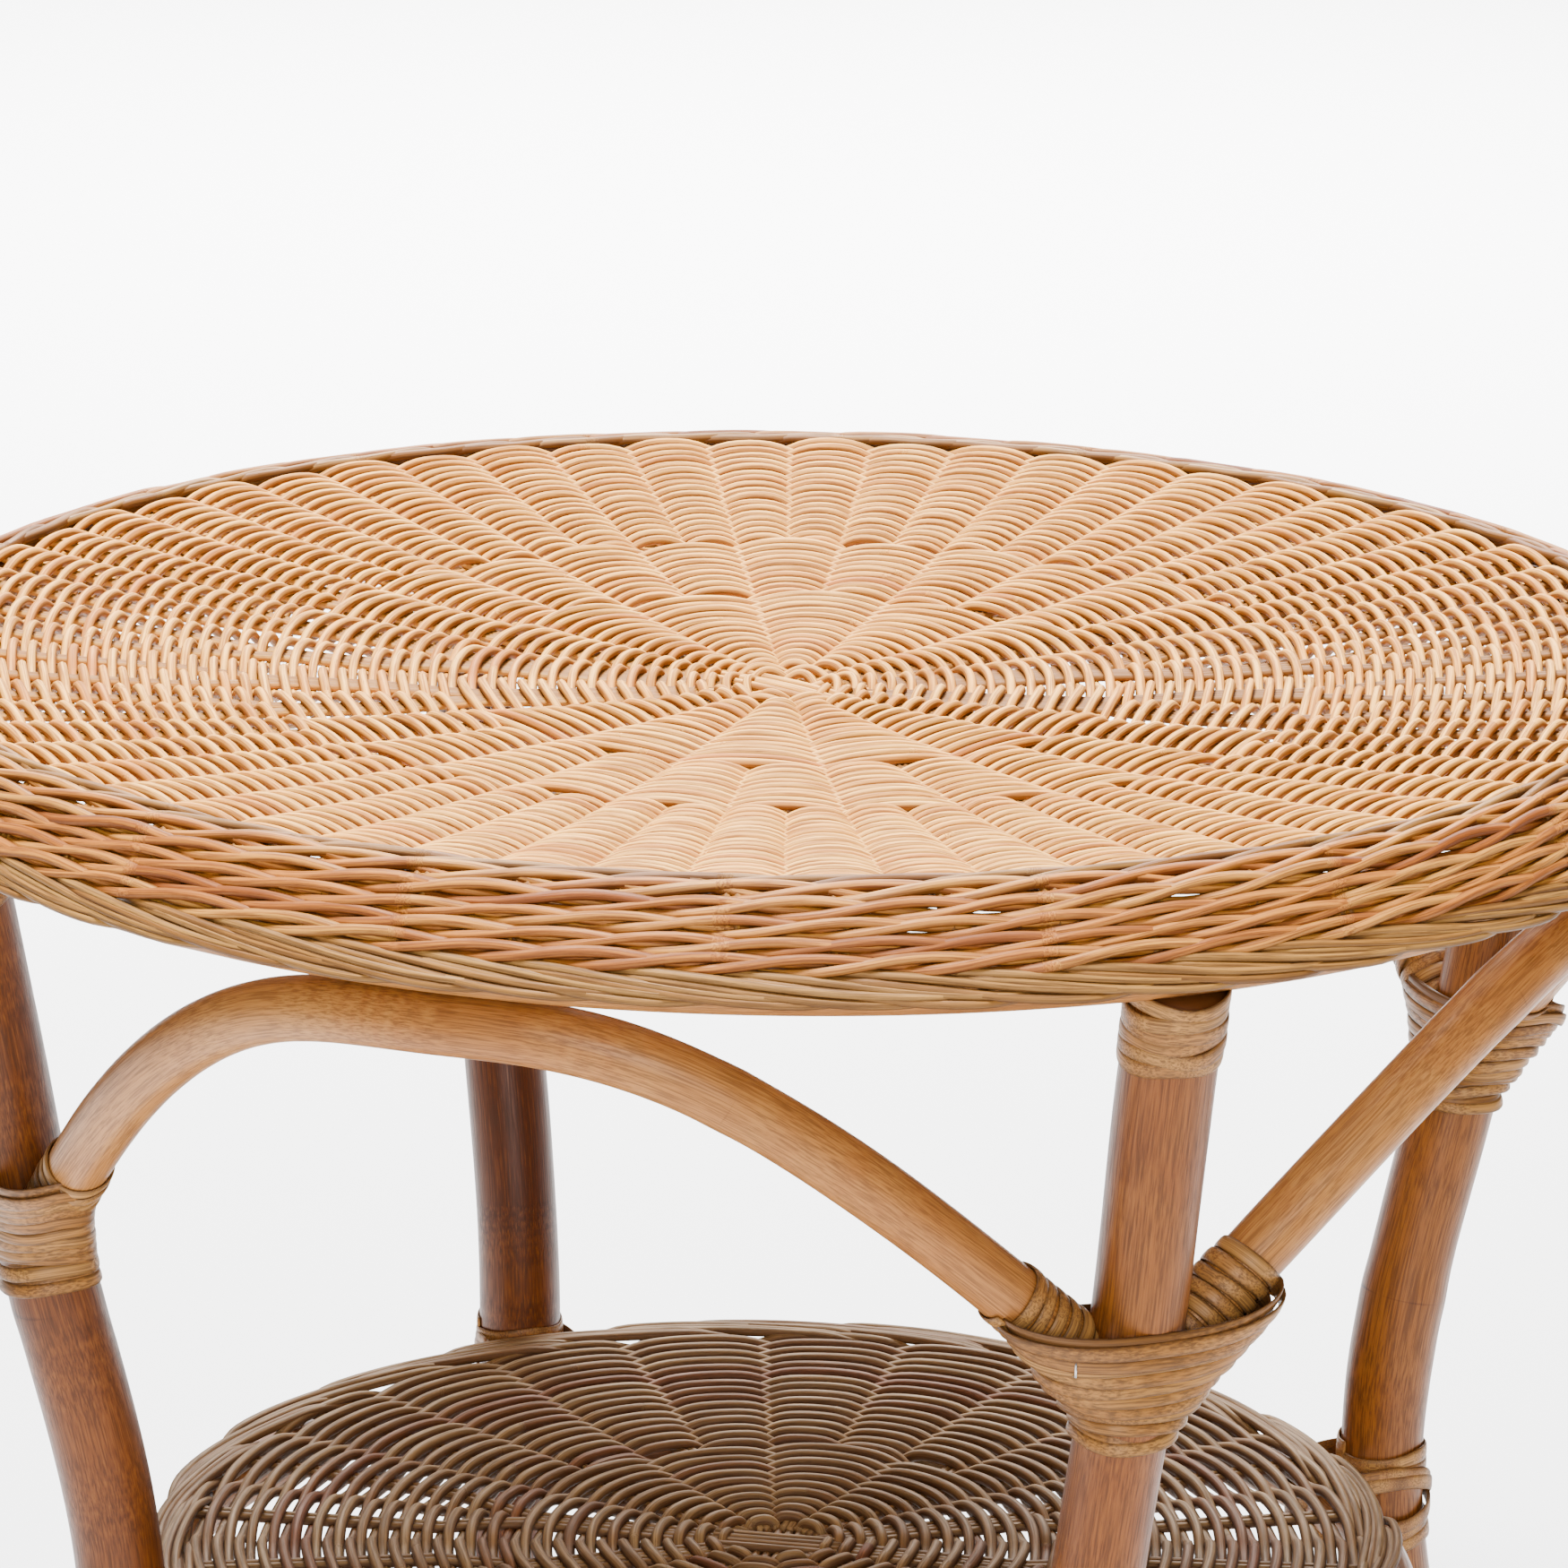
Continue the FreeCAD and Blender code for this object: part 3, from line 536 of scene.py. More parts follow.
TOP_CANE = Finish(
    "top_cane", (0.813, 0.404, 0.0729), (0.777, 0.332, 0.0441), (0.495, 0.146, 0.0138),
    (0.283, 0.097, 0.0115), Grain.CANE, 0.6, 0.85)
STAKE_CANE = Finish(
    "stake_cane", (0.616, 0.303, 0.0527), (0.513, 0.212, 0.0299), (0.342, 0.113, 0.014),
    (0.239, 0.0834, 0.0123), Grain.CANE, 0.6, 0.5)
WALE_CANE = Finish(
    "wale_cane", (0.548, 0.238, 0.0374), (0.456, 0.155, 0.0198), (0.221, 0.0563, 0.00748),
    (0.143, 0.0364, 0.00616), Grain.CANE, 0.5, 0.75)
BORDER_CANE = Finish(
    "border_cane", (0.349, 0.172, 0.0389), (0.274, 0.118, 0.0223), (0.169, 0.0587, 0.0106),
    (0.104, 0.0406, 0.00884), Grain.CANE, 0.5, 0.75)
SHELF_CANE = Finish(
    "shelf_cane", (0.276, 0.163, 0.0594), (0.212, 0.111, 0.0368), (0.17, 0.0542, 0.0169),
    (0.0693, 0.0362, 0.0124), Grain.CANE, 0.6, 0.6)
LEG_POLE = Finish(
    "leg_pole", (0.246, 0.0843, 0.0138), (0.181, 0.0515, 0.00803), (0.08, 0.019, 0.00305),
    (0.0374, 0.0122, 0.00305), Grain.POLE, 0.38, 0.6, 0.00012, 0.0)
ARCH_POLE = Finish(
    "arch_pole", (0.423, 0.187, 0.0464), (0.341, 0.128, 0.0294), (0.177, 0.0544, 0.0118),
    (0.089, 0.0327, 0.00956), Grain.POLE, 0.36, 0.55, 0.00012, 0.0)
PEEL = Finish(
    "peel_strip", (0.401, 0.188, 0.0475), (0.308, 0.125, 0.029), (0.174, 0.0712, 0.019),
    (0.0803, 0.0388, 0.015), Grain.PEEL, 0.42, 0.7, 0.0002, 0.7)


# ---------------------------------------------------------------- shape of the table

@dataclass
class TableShape:
    """Places that several sub-assemblies share, taken from the CAD nodes' boxes."""

    shoulder_height: float = 0.0
    border_radius: float = 0.0
    hoop_height: float = 0.0
    hoop_radius: float = 0.0
    shelf_height: float = 0.0
    shelf_radius: float = 0.0
    shelf_hoop_height: float = 0.0
    shelf_hoop_radius: float = 0.0
    hoop_pole: float = 23 * MM
    shelf_hoop_pole: float = 18 * MM
    leg_pole: float = 28 * MM
    arch_pole: float = 19 * MM
    skirt_flare: float = 13.5 * MM
    skirt_drop: float = 33 * MM
    dish_depth: float = 16.7 * MM
    foot_radius: float = 272 * MM
    leg_inset: float = 3.6 * MM
    spring_drop: float = 171 * MM
    crown_inset: float = 2 * MM
    flatness: float = 0.4
    power: float = 3.0
    bow_above: tuple = ((0.13, 0.15), (0.39, 0.405), (0.65, 0.763), (0.86, 0.98))
    bow_below: tuple = ((0.27, 0.12), (0.65, 0.52))

    def __post_init__(self) -> None:
        """Read the driving places from the frame."""
        self.shoulder_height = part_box("top_wale")[1].z
        self.border_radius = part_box("top_border")[1].x
        (low, high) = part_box("top_hoop")
        self.hoop_height = (low.z + high.z) / 2
        self.hoop_radius = high.x - self.hoop_pole / 2
        self.shelf_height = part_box("shelf_border")[1].z
        self.shelf_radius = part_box("shelf_border")[1].x
        (low, high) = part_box("shelf_hoop")
        self.shelf_hoop_height = (low.z + high.z) / 2
        self.shelf_hoop_radius = high.x - self.shelf_hoop_pole / 2

    @property
    def shoulder_radius(self) -> float:
        """Radius of the top at its shoulder."""
        return self.border_radius - self.skirt_flare

    def leg_line(self) -> tuple:
        """Heights, rising, and radii of the knots down the middle of a leg."""
        top = (self.hoop_radius - self.leg_inset, self.hoop_height - self.hoop_pole / 2 + MM)
        waist = (self.shelf_hoop_radius + (self.shelf_hoop_pole + self.leg_pole) / 2 + 0.3 * MM,
                 self.shelf_hoop_height)
        foot = (self.foot_radius, 0.0)
        pairs = [top]
        for (start, end, shares) in ((top, waist, self.bow_above), (waist, foot, self.bow_below)):
            for (drop, run) in shares:
                pairs.append((start[0] + (end[0] - start[0]) * run,
                              start[1] + (end[1] - start[1]) * drop))
            pairs.append(end)
        table = np.array(pairs[::-1])
        return table[:, 1], table[:, 0]

    def leg_radius(self, height: np.ndarray) -> np.ndarray:
        """Radius of the legs' bowed surface at a height."""
        (heights, radii) = self.leg_line()
        return cubic_spline(heights, radii, np.asarray(height, float))

    def crown_height(self) -> float:
        """Height of the middle of the arch poles under the hoop."""
        reach = (self.hoop_pole + self.arch_pole) / 2 + 0.3 * MM
        return self.hoop_height - math.sqrt(reach ** 2 - self.crown_inset ** 2)

    def arch(self, middle: float, share: np.ndarray) -> np.ndarray:
        """Points of an arch between two legs.

        The fall from the crown is the rounded distance (share^p + flat^p)^(1/p), flat
        at first and then almost straight, and the radius eases in along a smooth step.

        Args:
            middle: Angle of the crown in degrees.
            share: -1 and 1 at the two legs, 0 at the crown.

        Returns:
            Points, one row each.
        """
        spring = self.shoulder_height - self.spring_drop
        flat = self.flatness
        away = (np.abs(share) ** self.power + flat ** self.power) ** (1 / self.power)
        full = (1 + flat ** self.power) ** (1 / self.power)
        height = self.crown_height() + (spring - self.crown_height()) * (away - flat) / (
            full - flat)
        step = share ** 2 * (3 - 2 * np.abs(share))
        crown = self.hoop_radius - self.crown_inset
        end = float(self.leg_radius(np.array([spring]))[0])
        return polar(crown + (end - crown) * step, np.radians(middle + QUARTER * share), height)

    def dish(self, radius: np.ndarray) -> np.ndarray:
        """Height of the top's upper face at a radius."""
        return self.shoulder_height - self.dish_depth * (1 - (radius / self.shoulder_radius) ** 2)


# ---------------------------------------------------------------- woven sheets

@dataclass
class StakeRing:
    """Where the stakes stand round the sheet between two radii."""

    inner: float
    outer: float
    angles: np.ndarray

    def count_at(self, angle: np.ndarray) -> np.ndarray:
        """Stake number as a running value round the ring, whole at each stake."""
        number = len(self.angles)
        places = np.concatenate([self.angles - TAU, self.angles, self.angles + TAU])
        return np.interp(angle, places, np.arange(-number, 2 * number))


@dataclass
class WovenSheet:
    """Rows of weavers over and under the stakes of a round sheet."""

    rings: list
    row_pitch: float
    weaver: float
    lift: float
    seed: int
    surface: object
    crown: float = 1.1
    sides: int = 8
    points_per_stake: int = 8
    stray: float = 0.35 * MM
    join_pad: int = 8
    darker: float = 0.28

    def row_radii(self) -> np.ndarray:
        """Radii of all rows."""
        return np.arange(self.rings[0].inner, self.rings[-1].outer, self.row_pitch)

    def tints(self, rng: np.random.Generator, rows: int, angle: np.ndarray) -> np.ndarray:
        """Tint per row and station: each weaver's own value, changed where it is joined.

        Returns:
            Array of (rows, stations).
        """
        first = np.clip(rng.normal(0.25, 0.24, (rows, 1)), 0.0, 0.95)
        second = np.clip(rng.normal(0.32, 0.32, (rows, 1)), 0.0, 1.0)
        join = rng.uniform(0, TAU, (rows, 1))
        width = rng.uniform(0.6, 3.5, (rows, 1))
        inside = ((angle[None, :] - join) % TAU) < width
        return np.where(inside, second, first)

    def add_rows(self, surface: Surface, ring: StakeRing, radii: np.ndarray,
                 first_row: int, dark_rows: int = 2) -> None:
        """Add the rows between two radii to a surface.

        A weaver's height is the sheet's middle plus the lift times a flattened cosine
        of half a turn per stake, and neighbouring rows are half a turn apart.

        Args:
            surface: Where the strands go.
            ring: Stakes of this stretch.
            radii: Row radii.
            first_row: Number of the first row, which sets over or under.
            dark_rows: How many rows after the split are of a darker cane.

        Returns:
            None.
        """
        rng = np.random.default_rng(self.seed + first_row)
        stakes = len(ring.angles)
        stations = stakes * self.points_per_stake
        angle = np.arange(stations) * TAU / stations
        rows = len(radii)
        number = np.arange(rows)[:, None] + first_row
        wave = np.cos(math.pi * (ring.count_at(angle)[None, :] + number))
        flat = wave / np.sqrt(wave ** 2 + self.crown ** 2) * math.sqrt(1 + self.crown ** 2)
        drift = smooth_noise(rng, (rows,), angle[None, :], 9)
        shared = smooth_noise(np.random.default_rng(self.seed + 5), (), angle, 6)
        radius = radii[:, None] + self.stray * (0.5 * drift + shared[None, :])
        beat = rng.normal(1.0, 0.07, (rows, stakes))
        beat = np.repeat(beat, self.points_per_stake, axis=1)
        kernel = np.ones(self.points_per_stake) / self.points_per_stake
        pad = self.join_pad
        beat = np.apply_along_axis(
            lambda line: np.convolve(np.concatenate([line[-pad:], line, line[:pad]]), kernel,
                                     "same")[pad:-pad], 1, beat)
        height = self.surface(radius) + self.lift * flat * beat
        paths = polar(radius, np.broadcast_to(angle, radius.shape), height)
        thick = 1 + 0.06 * smooth_noise(rng, (rows,), angle[None, :], 4)
        tint = self.tints(rng, rows, angle)
        tint[:dark_rows] = np.clip(tint[:dark_rows] + self.darker, 0, 1)
        surface.sweep(paths, UP, round_profile(self.weaver, self.sides), True,
                      np.clip(thick, 0.8, 1.15), tint, None, rng.uniform(0, 40, rows))


def bundle_angles(stakes: int) -> tuple:
    """Angles of the top's stakes, pairs and bundles.

    The stakes stand at even steps. Two make a pair, and two pairs a bundle, but for
    one bundle of a single pair in each half.

    Args:
        stakes: Number of stakes at the rim.

    Returns:
        Stake, pair and bundle angles, and each stake's bundle and place in it.
    """
    step = TAU / stakes
    single = np.arange(stakes) * step
    pair = single.reshape(-1, 2).mean(axis=1)
    half = [2] * (stakes // 8) + [1]
    sizes = np.array(half + half)
    owner = np.repeat(np.arange(len(sizes)), sizes)
    first = np.concatenate([[0], np.cumsum(sizes)[:-1]])
    bundle = np.array([pair[start:start + size].mean() for (start, size) in zip(first, sizes)])
    return single, pair, bundle, np.repeat(owner, 2), 2 * first, 2 * sizes


@dataclass
class WovenTop:
    """The dished top: stakes, rows of weavers and the crossing sticks at its hub."""

    shape: TableShape
    stakes: int = 60
    weaver: float = 3.2 * MM
    stick: float = 2.5 * MM
    row_pitch: float = 3.12 * MM
    hub: float = 24 * MM
    first_split: float = 106 * MM
    second_split: float = 167 * MM
    edge: float = 275 * MM
    split_run: float = 24 * MM
    lift: float = 2.8 * MM
    middle_depth: float = 4.4 * MM

    def middle(self, radius: np.ndarray) -> np.ndarray:
        """Height of the sheet's middle, where the stakes run."""
        return self.shape.dish(radius) - self.middle_depth

    def build(self) -> list:
        """Make the weave's pieces, the stakes and the hub.

        Returns:
            Pairs of a piece and the CAD nodes that it stands for.
        """
        (single, pair, bundle, _, _, _) = bundle_angles(self.stakes)
        rings = [StakeRing(self.hub, self.first_split, bundle),
                 StakeRing(self.first_split, self.second_split, pair),
                 StakeRing(self.second_split, self.edge, single)]
        sheet = WovenSheet(rings, self.row_pitch, self.weaver, self.lift, 11, self.middle)
        radii = sheet.row_radii()
        ring_of_row = np.searchsorted([self.first_split, self.second_split], radii)
        material = TOP_CANE.build()
        pieces = []
        stretches = [("weave_inner", 0, 14), ("weave_middle", 1, 10), ("weave_outer", 2, 8)]
        for (name, index, per_stake) in stretches:
            rows = np.nonzero(ring_of_row == index)[0]
            halves = np.array_split(rows, 2) if index == 2 else [rows]
            for (part, chosen) in enumerate(halves):
                surface = Surface()
                sheet.points_per_stake = per_stake
                dark = 0 if index == 0 or part == 1 else 2
                sheet.add_rows(surface, rings[index], radii[chosen], int(chosen[0]), dark)
                label = name if len(halves) == 1 else name + "_" + "ab"[part]
                pieces.append((surface.build(label, material), ("top_weave",)))
        pieces.append((self.build_stakes(), ("top_stakes",)))
        pieces.append((self.build_hub(material), ("top_hub_sticks",)))
        return pieces

    def stake_stations(self) -> tuple:
        """Plan routes of the pairs of sticks that make the stakes.

        Each route runs beside its bundle's middle line, then its pair's, then alone,
        with short slanting stretches between.

        Returns:
            Radii, angles and sideways places, each (sticks, stations).
        """
        (single, pair, bundle, owner, first, sizes) = bundle_angles(self.stakes)
        index = np.arange(self.stakes)
        pitch = 2 * self.stick + 0.1 * MM
        bundle_side = (index - first[owner] - (sizes[owner] - 1) / 2) * pitch * 0.72
        pair_side = (index % 2 - 0.5) * pitch
        stops = np.array([self.hub - 4 * MM, self.first_split - 8 * MM,
                          self.first_split + self.split_run,
                          self.second_split - 8 * MM, self.second_split + self.split_run,
                          self.edge - 2 * MM])
        angle = np.stack([bundle[owner], bundle[owner], pair[index // 2], pair[index // 2],
                          single, single], axis=1)
        side = np.stack([bundle_side, bundle_side, pair_side, pair_side,
                         0 * bundle_side, 0 * bundle_side], axis=1)
        angle = np.repeat(angle, 2, axis=0)
        side = np.repeat(side, 2, axis=0)
        own = np.tile([-0.5, 0.5], self.stakes)[:, None] * self.stick
        side = side + own * np.array([0.72, 0.72, 1.0, 1.0, 1.0, 1.0])[None, :]
        return stops, angle, side

    def build_stakes(self) -> bpy.types.Object:
        """Pairs of round sticks from the hub out to the rim and down the skirt."""
        (stops, angle, side) = self.stake_stations()
        (_, places, sides, plan) = fan_sticks(stops, (5, 3, 4, 3, 6), angle, side)
        height = self.middle(np.linalg.norm(plan[..., :2], axis=-1))
        plan[..., 2] = height
        across = polar(1.0, places[:, :1] + math.pi / 2, 0.0)
        rim = RimPath(self.shape)
        drops = np.linspace(2 * MM, rim.total + 2 * MM, 12)
        (place, _) = rim.at(drops)
        last = places[:, -1:]
        skirt = polar(place[None, :, 0] - 0.4 * MM, last, place[None, :, 1])
        skirt = skirt + polar(1.0, last + math.pi / 2, 0.0) * sides[:, -1:, None] * 1.25
        paths = np.concatenate([plan, skirt], axis=1)
        rng = np.random.default_rng(3)
        surface = Surface()
        surface.sweep(paths, np.broadcast_to(across, paths.shape),
                      round_profile(self.stick, 6), False, None,
                      rng.uniform(0.05, 0.5, len(paths)), None, rng.uniform(0, 9, len(paths)))
        return surface.build("top_stake_sticks", STAKE_CANE.build())

    def build_hub(self, material: bpy.types.Material) -> bpy.types.Object:
        """Crossing bundles of straight sticks at the hub, with loops of weaver over them."""
        rng = np.random.default_rng(21)
        surface = Surface()
        reach = self.hub + 5 * MM
        along = np.linspace(-reach, reach, 9)
        layers = ((0.0, 0.9), (90.0, -0.9), (45.0, -2.3), (135.0, -3.0))
        for (turn, rise) in layers:
            angle = math.radians(turn - 20.0)
            axis = np.array([math.cos(angle), math.sin(angle), 0.0])
            beside = np.array([-math.sin(angle), math.cos(angle), 0.0])
            for place in range(4):
                side = (place - 1.5) * 3.35 * MM
                bow = np.cos(along / reach * math.pi / 2) * rise * MM
                height = self.middle(np.abs(along)) + bow + rng.normal(0, 0.25 * MM)
                path = axis * along[:, None] + beside * side
                path[:, 2] = height
                surface.sweep(path[None], UP, round_profile(3.1 * MM, 8),
                              False, None, rng.uniform(0.1, 0.45, 1), None,
                              rng.uniform(0, 9, 1))
        turn = np.linspace(0, TAU, 90, endpoint=False)
        for (radius, phase) in ((12.5, 0.0), (15.8, math.pi), (19.0, 0.0), (21.6, math.pi)):
            wave = np.cos(4 * turn + phase)
            path = polar((radius + 0.6 * wave) * MM, turn,
                         self.middle(np.array(radius * MM)) + 2.6 * MM * wave)
            surface.sweep(path[None], UP, round_profile(3.0 * MM, 8),
                          True, None, rng.uniform(0.05, 0.35, 1), None, rng.uniform(0, 9, 1))
        return surface.build("hub_sticks", material)


@dataclass
class RimPath:
    """Middle of the rim's thickness in section: flat edge, rounded shoulder, skirt."""

    shape: TableShape
    lead: tuple = ((-11.8, -4.6), (-6.2, -4.3), (-1.7, -5.9), (1.4, -10.4), (4.5, -17.0),
                   (7.3, -23.4))

    def __post_init__(self) -> None:
        """Place the section's knots and measure its length."""
        knots = np.array(self.lead) * MM
        knots[:, 0] += self.shape.shoulder_radius
        knots[:, 1] += self.shape.shoulder_height
        step = np.linalg.norm(np.diff(knots, axis=0), axis=1)
        self.places = np.concatenate([[0.0], np.cumsum(step)])
        self.knots = knots
        self.total = float(self.places[-1])

    def at(self, length: np.ndarray) -> tuple:
        """Section point and outward normal at a length along the rim."""
        length = np.asarray(length, float)
        inside = np.clip(length, 0, self.total)
        point = cubic_spline(self.places, self.knots, inside)
        step = 0.5 * MM
        middle = np.clip(inside, step, self.total - step)
        tangent = unit(cubic_spline(self.places, self.knots, middle + step)
                       - cubic_spline(self.places, self.knots, middle - step))
        point = point + tangent * (length - inside)[..., None]
        normal = np.stack([-tangent[..., 1], tangent[..., 0]], axis=-1)
        return point, normal


@dataclass
class WaledRim:
    """Rows of three-strand wale round the rim, over two stakes and behind one."""

    shape: TableShape
    stakes: int = 60
    weaver: float = 3.4 * MM
    swell: float = 1.9 * MM
    slant: float = 2.1 * MM
    rows: tuple = (3.4, 8.6, 13.8, 19.0, 24.2, 29.2)
    pale_rows: int = 1
    points_per_stake: int = 6

    def strand(self, turn: np.ndarray) -> tuple:
        """Outward and upward places of a wale strand.

        Args:
            turn: Phase in turns; one turn is three stakes.

        Returns:
            Outward share, from -1 behind the stakes to 1 in front, and upward share,
            which rises while the strand shows and falls back while it is hidden.
        """
        phase = turn % 1.0
        outward = np.tanh(1.9 * (np.sin(TAU * phase) + 0.5)) / np.tanh(2.85)
        place = (phase + 1 / 12) % 1.0 * 1.5
        rise = -np.cos(math.pi * np.clip(place / 0.62, 0, 1))
        ease = (1 - np.cos(math.pi * np.clip((place - 0.62) / 0.38, 0, 1))) * 0.35
        back = (1 - np.cos(math.pi * np.clip((place - 1.0) / 0.5, 0, 1))) * 0.65
        upward = rise - ease - back
        return outward, upward

    def build(self) -> list:
        """Make the wale rows."""
        rim = RimPath(self.shape)
        rng = np.random.default_rng(31)
        pale = Surface()
        tan = Surface()
        stations = self.stakes * self.points_per_stake
        angle = np.arange(stations) * TAU / stations
        for (number, place) in enumerate(self.rows):
            strands = []
            scales = []
            for strand in range(3):
                phase = angle * self.stakes / TAU / 3 + strand / 3 + number * 0.21
                (out, up) = self.strand(phase)
                noise = smooth_noise(rng, (3,), angle, 24)
                length = place * MM - self.slant * up + 0.35 * MM * noise[0]
                (point, normal) = rim.at(length)
                lift = self.swell * out + 0.25 * MM * noise[1]
                section = point + normal * lift[:, None]
                strands.append(polar(section[:, 0], angle, section[:, 1]))
                scales.append(1 + 0.07 * noise[2])
            target = pale if number < self.pale_rows else tan
            (_, middle_normal) = rim.at(np.array([place * MM]))
            outward = polar(middle_normal[0, 0], angle, middle_normal[0, 1])
            tint = np.clip(rng.normal(0.45, 0.3, (3, self.stakes // 3)), 0, 1)
            tint = np.repeat(tint, 3 * self.points_per_stake, axis=1)
            target.sweep(np.array(strands), outward[None], round_profile(self.weaver, 8), True,
                         np.clip(np.array(scales), 0.8, 1.2), tint, None, rng.uniform(0, 30, 3))
        return [(pale.build("wale_pale", BORDER_CANE.build()), ("top_wale",)),
                (tan.build("wale_tan", WALE_CANE.build()), ("top_wale",))]


@dataclass
class ClosingBorder:
    """Border of stake ends laid down one after another, each over the next few stakes."""

    name: str
    node: str
    stakes: int
    centre: tuple
    lay: tuple
    span: float
    height: float
    depth: float
    stick: float
    finish: Finish
    sticks_per_stake: int = 2
    seed: int = 41
    stations: int = 22
    tint_middle: float = 0.35

    def build(self) -> list:
        """Make the border.

        A stick starts inside at its stake, comes out, falls along a half cosine over
        the next stakes and turns in underneath.

        Returns:
            The piece and the CAD node that it stands for.
        """
        rng = np.random.default_rng(self.seed)
        count = self.stakes * self.sticks_per_stake
        along = np.linspace(0, 1, self.stations)[None, :]
        stake = np.repeat(np.arange(self.stakes), self.sticks_per_stake)[:, None]
        twin = np.tile(np.arange(self.sticks_per_stake), self.stakes)[:, None]
        jitter = rng.normal(0, 1, (count, 4))
        pitch = TAU / self.stakes
        span = self.span * (1 + 0.05 * jitter[:, :1])
        angle = (stake - 0.35 + 0.05 * jitter[:, 1:2] + span * along) * pitch
        tuck = np.clip((along - 0.84) / 0.16, 0, 1)
        fall = np.cos(math.pi * np.clip(along / 0.86, 0, 1)) + 0.55 * tuck ** 2
        fall = fall * self.height / 2 * (1 + 0.06 * jitter[:, 2:3])
        fall = fall - (twin - (self.sticks_per_stake - 1) / 2) * self.stick * 0.62
        rising = np.sin(math.pi / 2 * np.clip(along / 0.22, 0, 1))
        out = -0.9 + 1.9 * rising - 0.35 * along - 1.9 * tuck ** 1.6 - 0.12 * (twin % 2)
        out = out * self.depth / 2 + 0.15 * MM * jitter[:, 3:4]
        down = np.array(self.lay)
        outward = np.array((down[1], -down[0])) * -1.0
        radius = self.centre[0] + down[0] * -fall + outward[0] * out
        height = self.centre[1] + down[1] * -fall + outward[1] * out
        paths = polar(radius, angle, height)
        reference = polar(outward[0], angle, outward[1] + 1e-6)
        taper = 1 - 0.25 * np.maximum(0, along - 0.8) / 0.2
        surface = Surface()
        tint = np.clip(rng.normal(self.tint_middle, 0.2, count), 0, 1)
        surface.sweep(paths, reference, round_profile(self.stick, 7), False,
                      np.broadcast_to(taper, (count, self.stations)), tint, None,
                      rng.uniform(0, 30, count))
        return [(surface.build(self.name, self.finish.build()), (self.node,))]


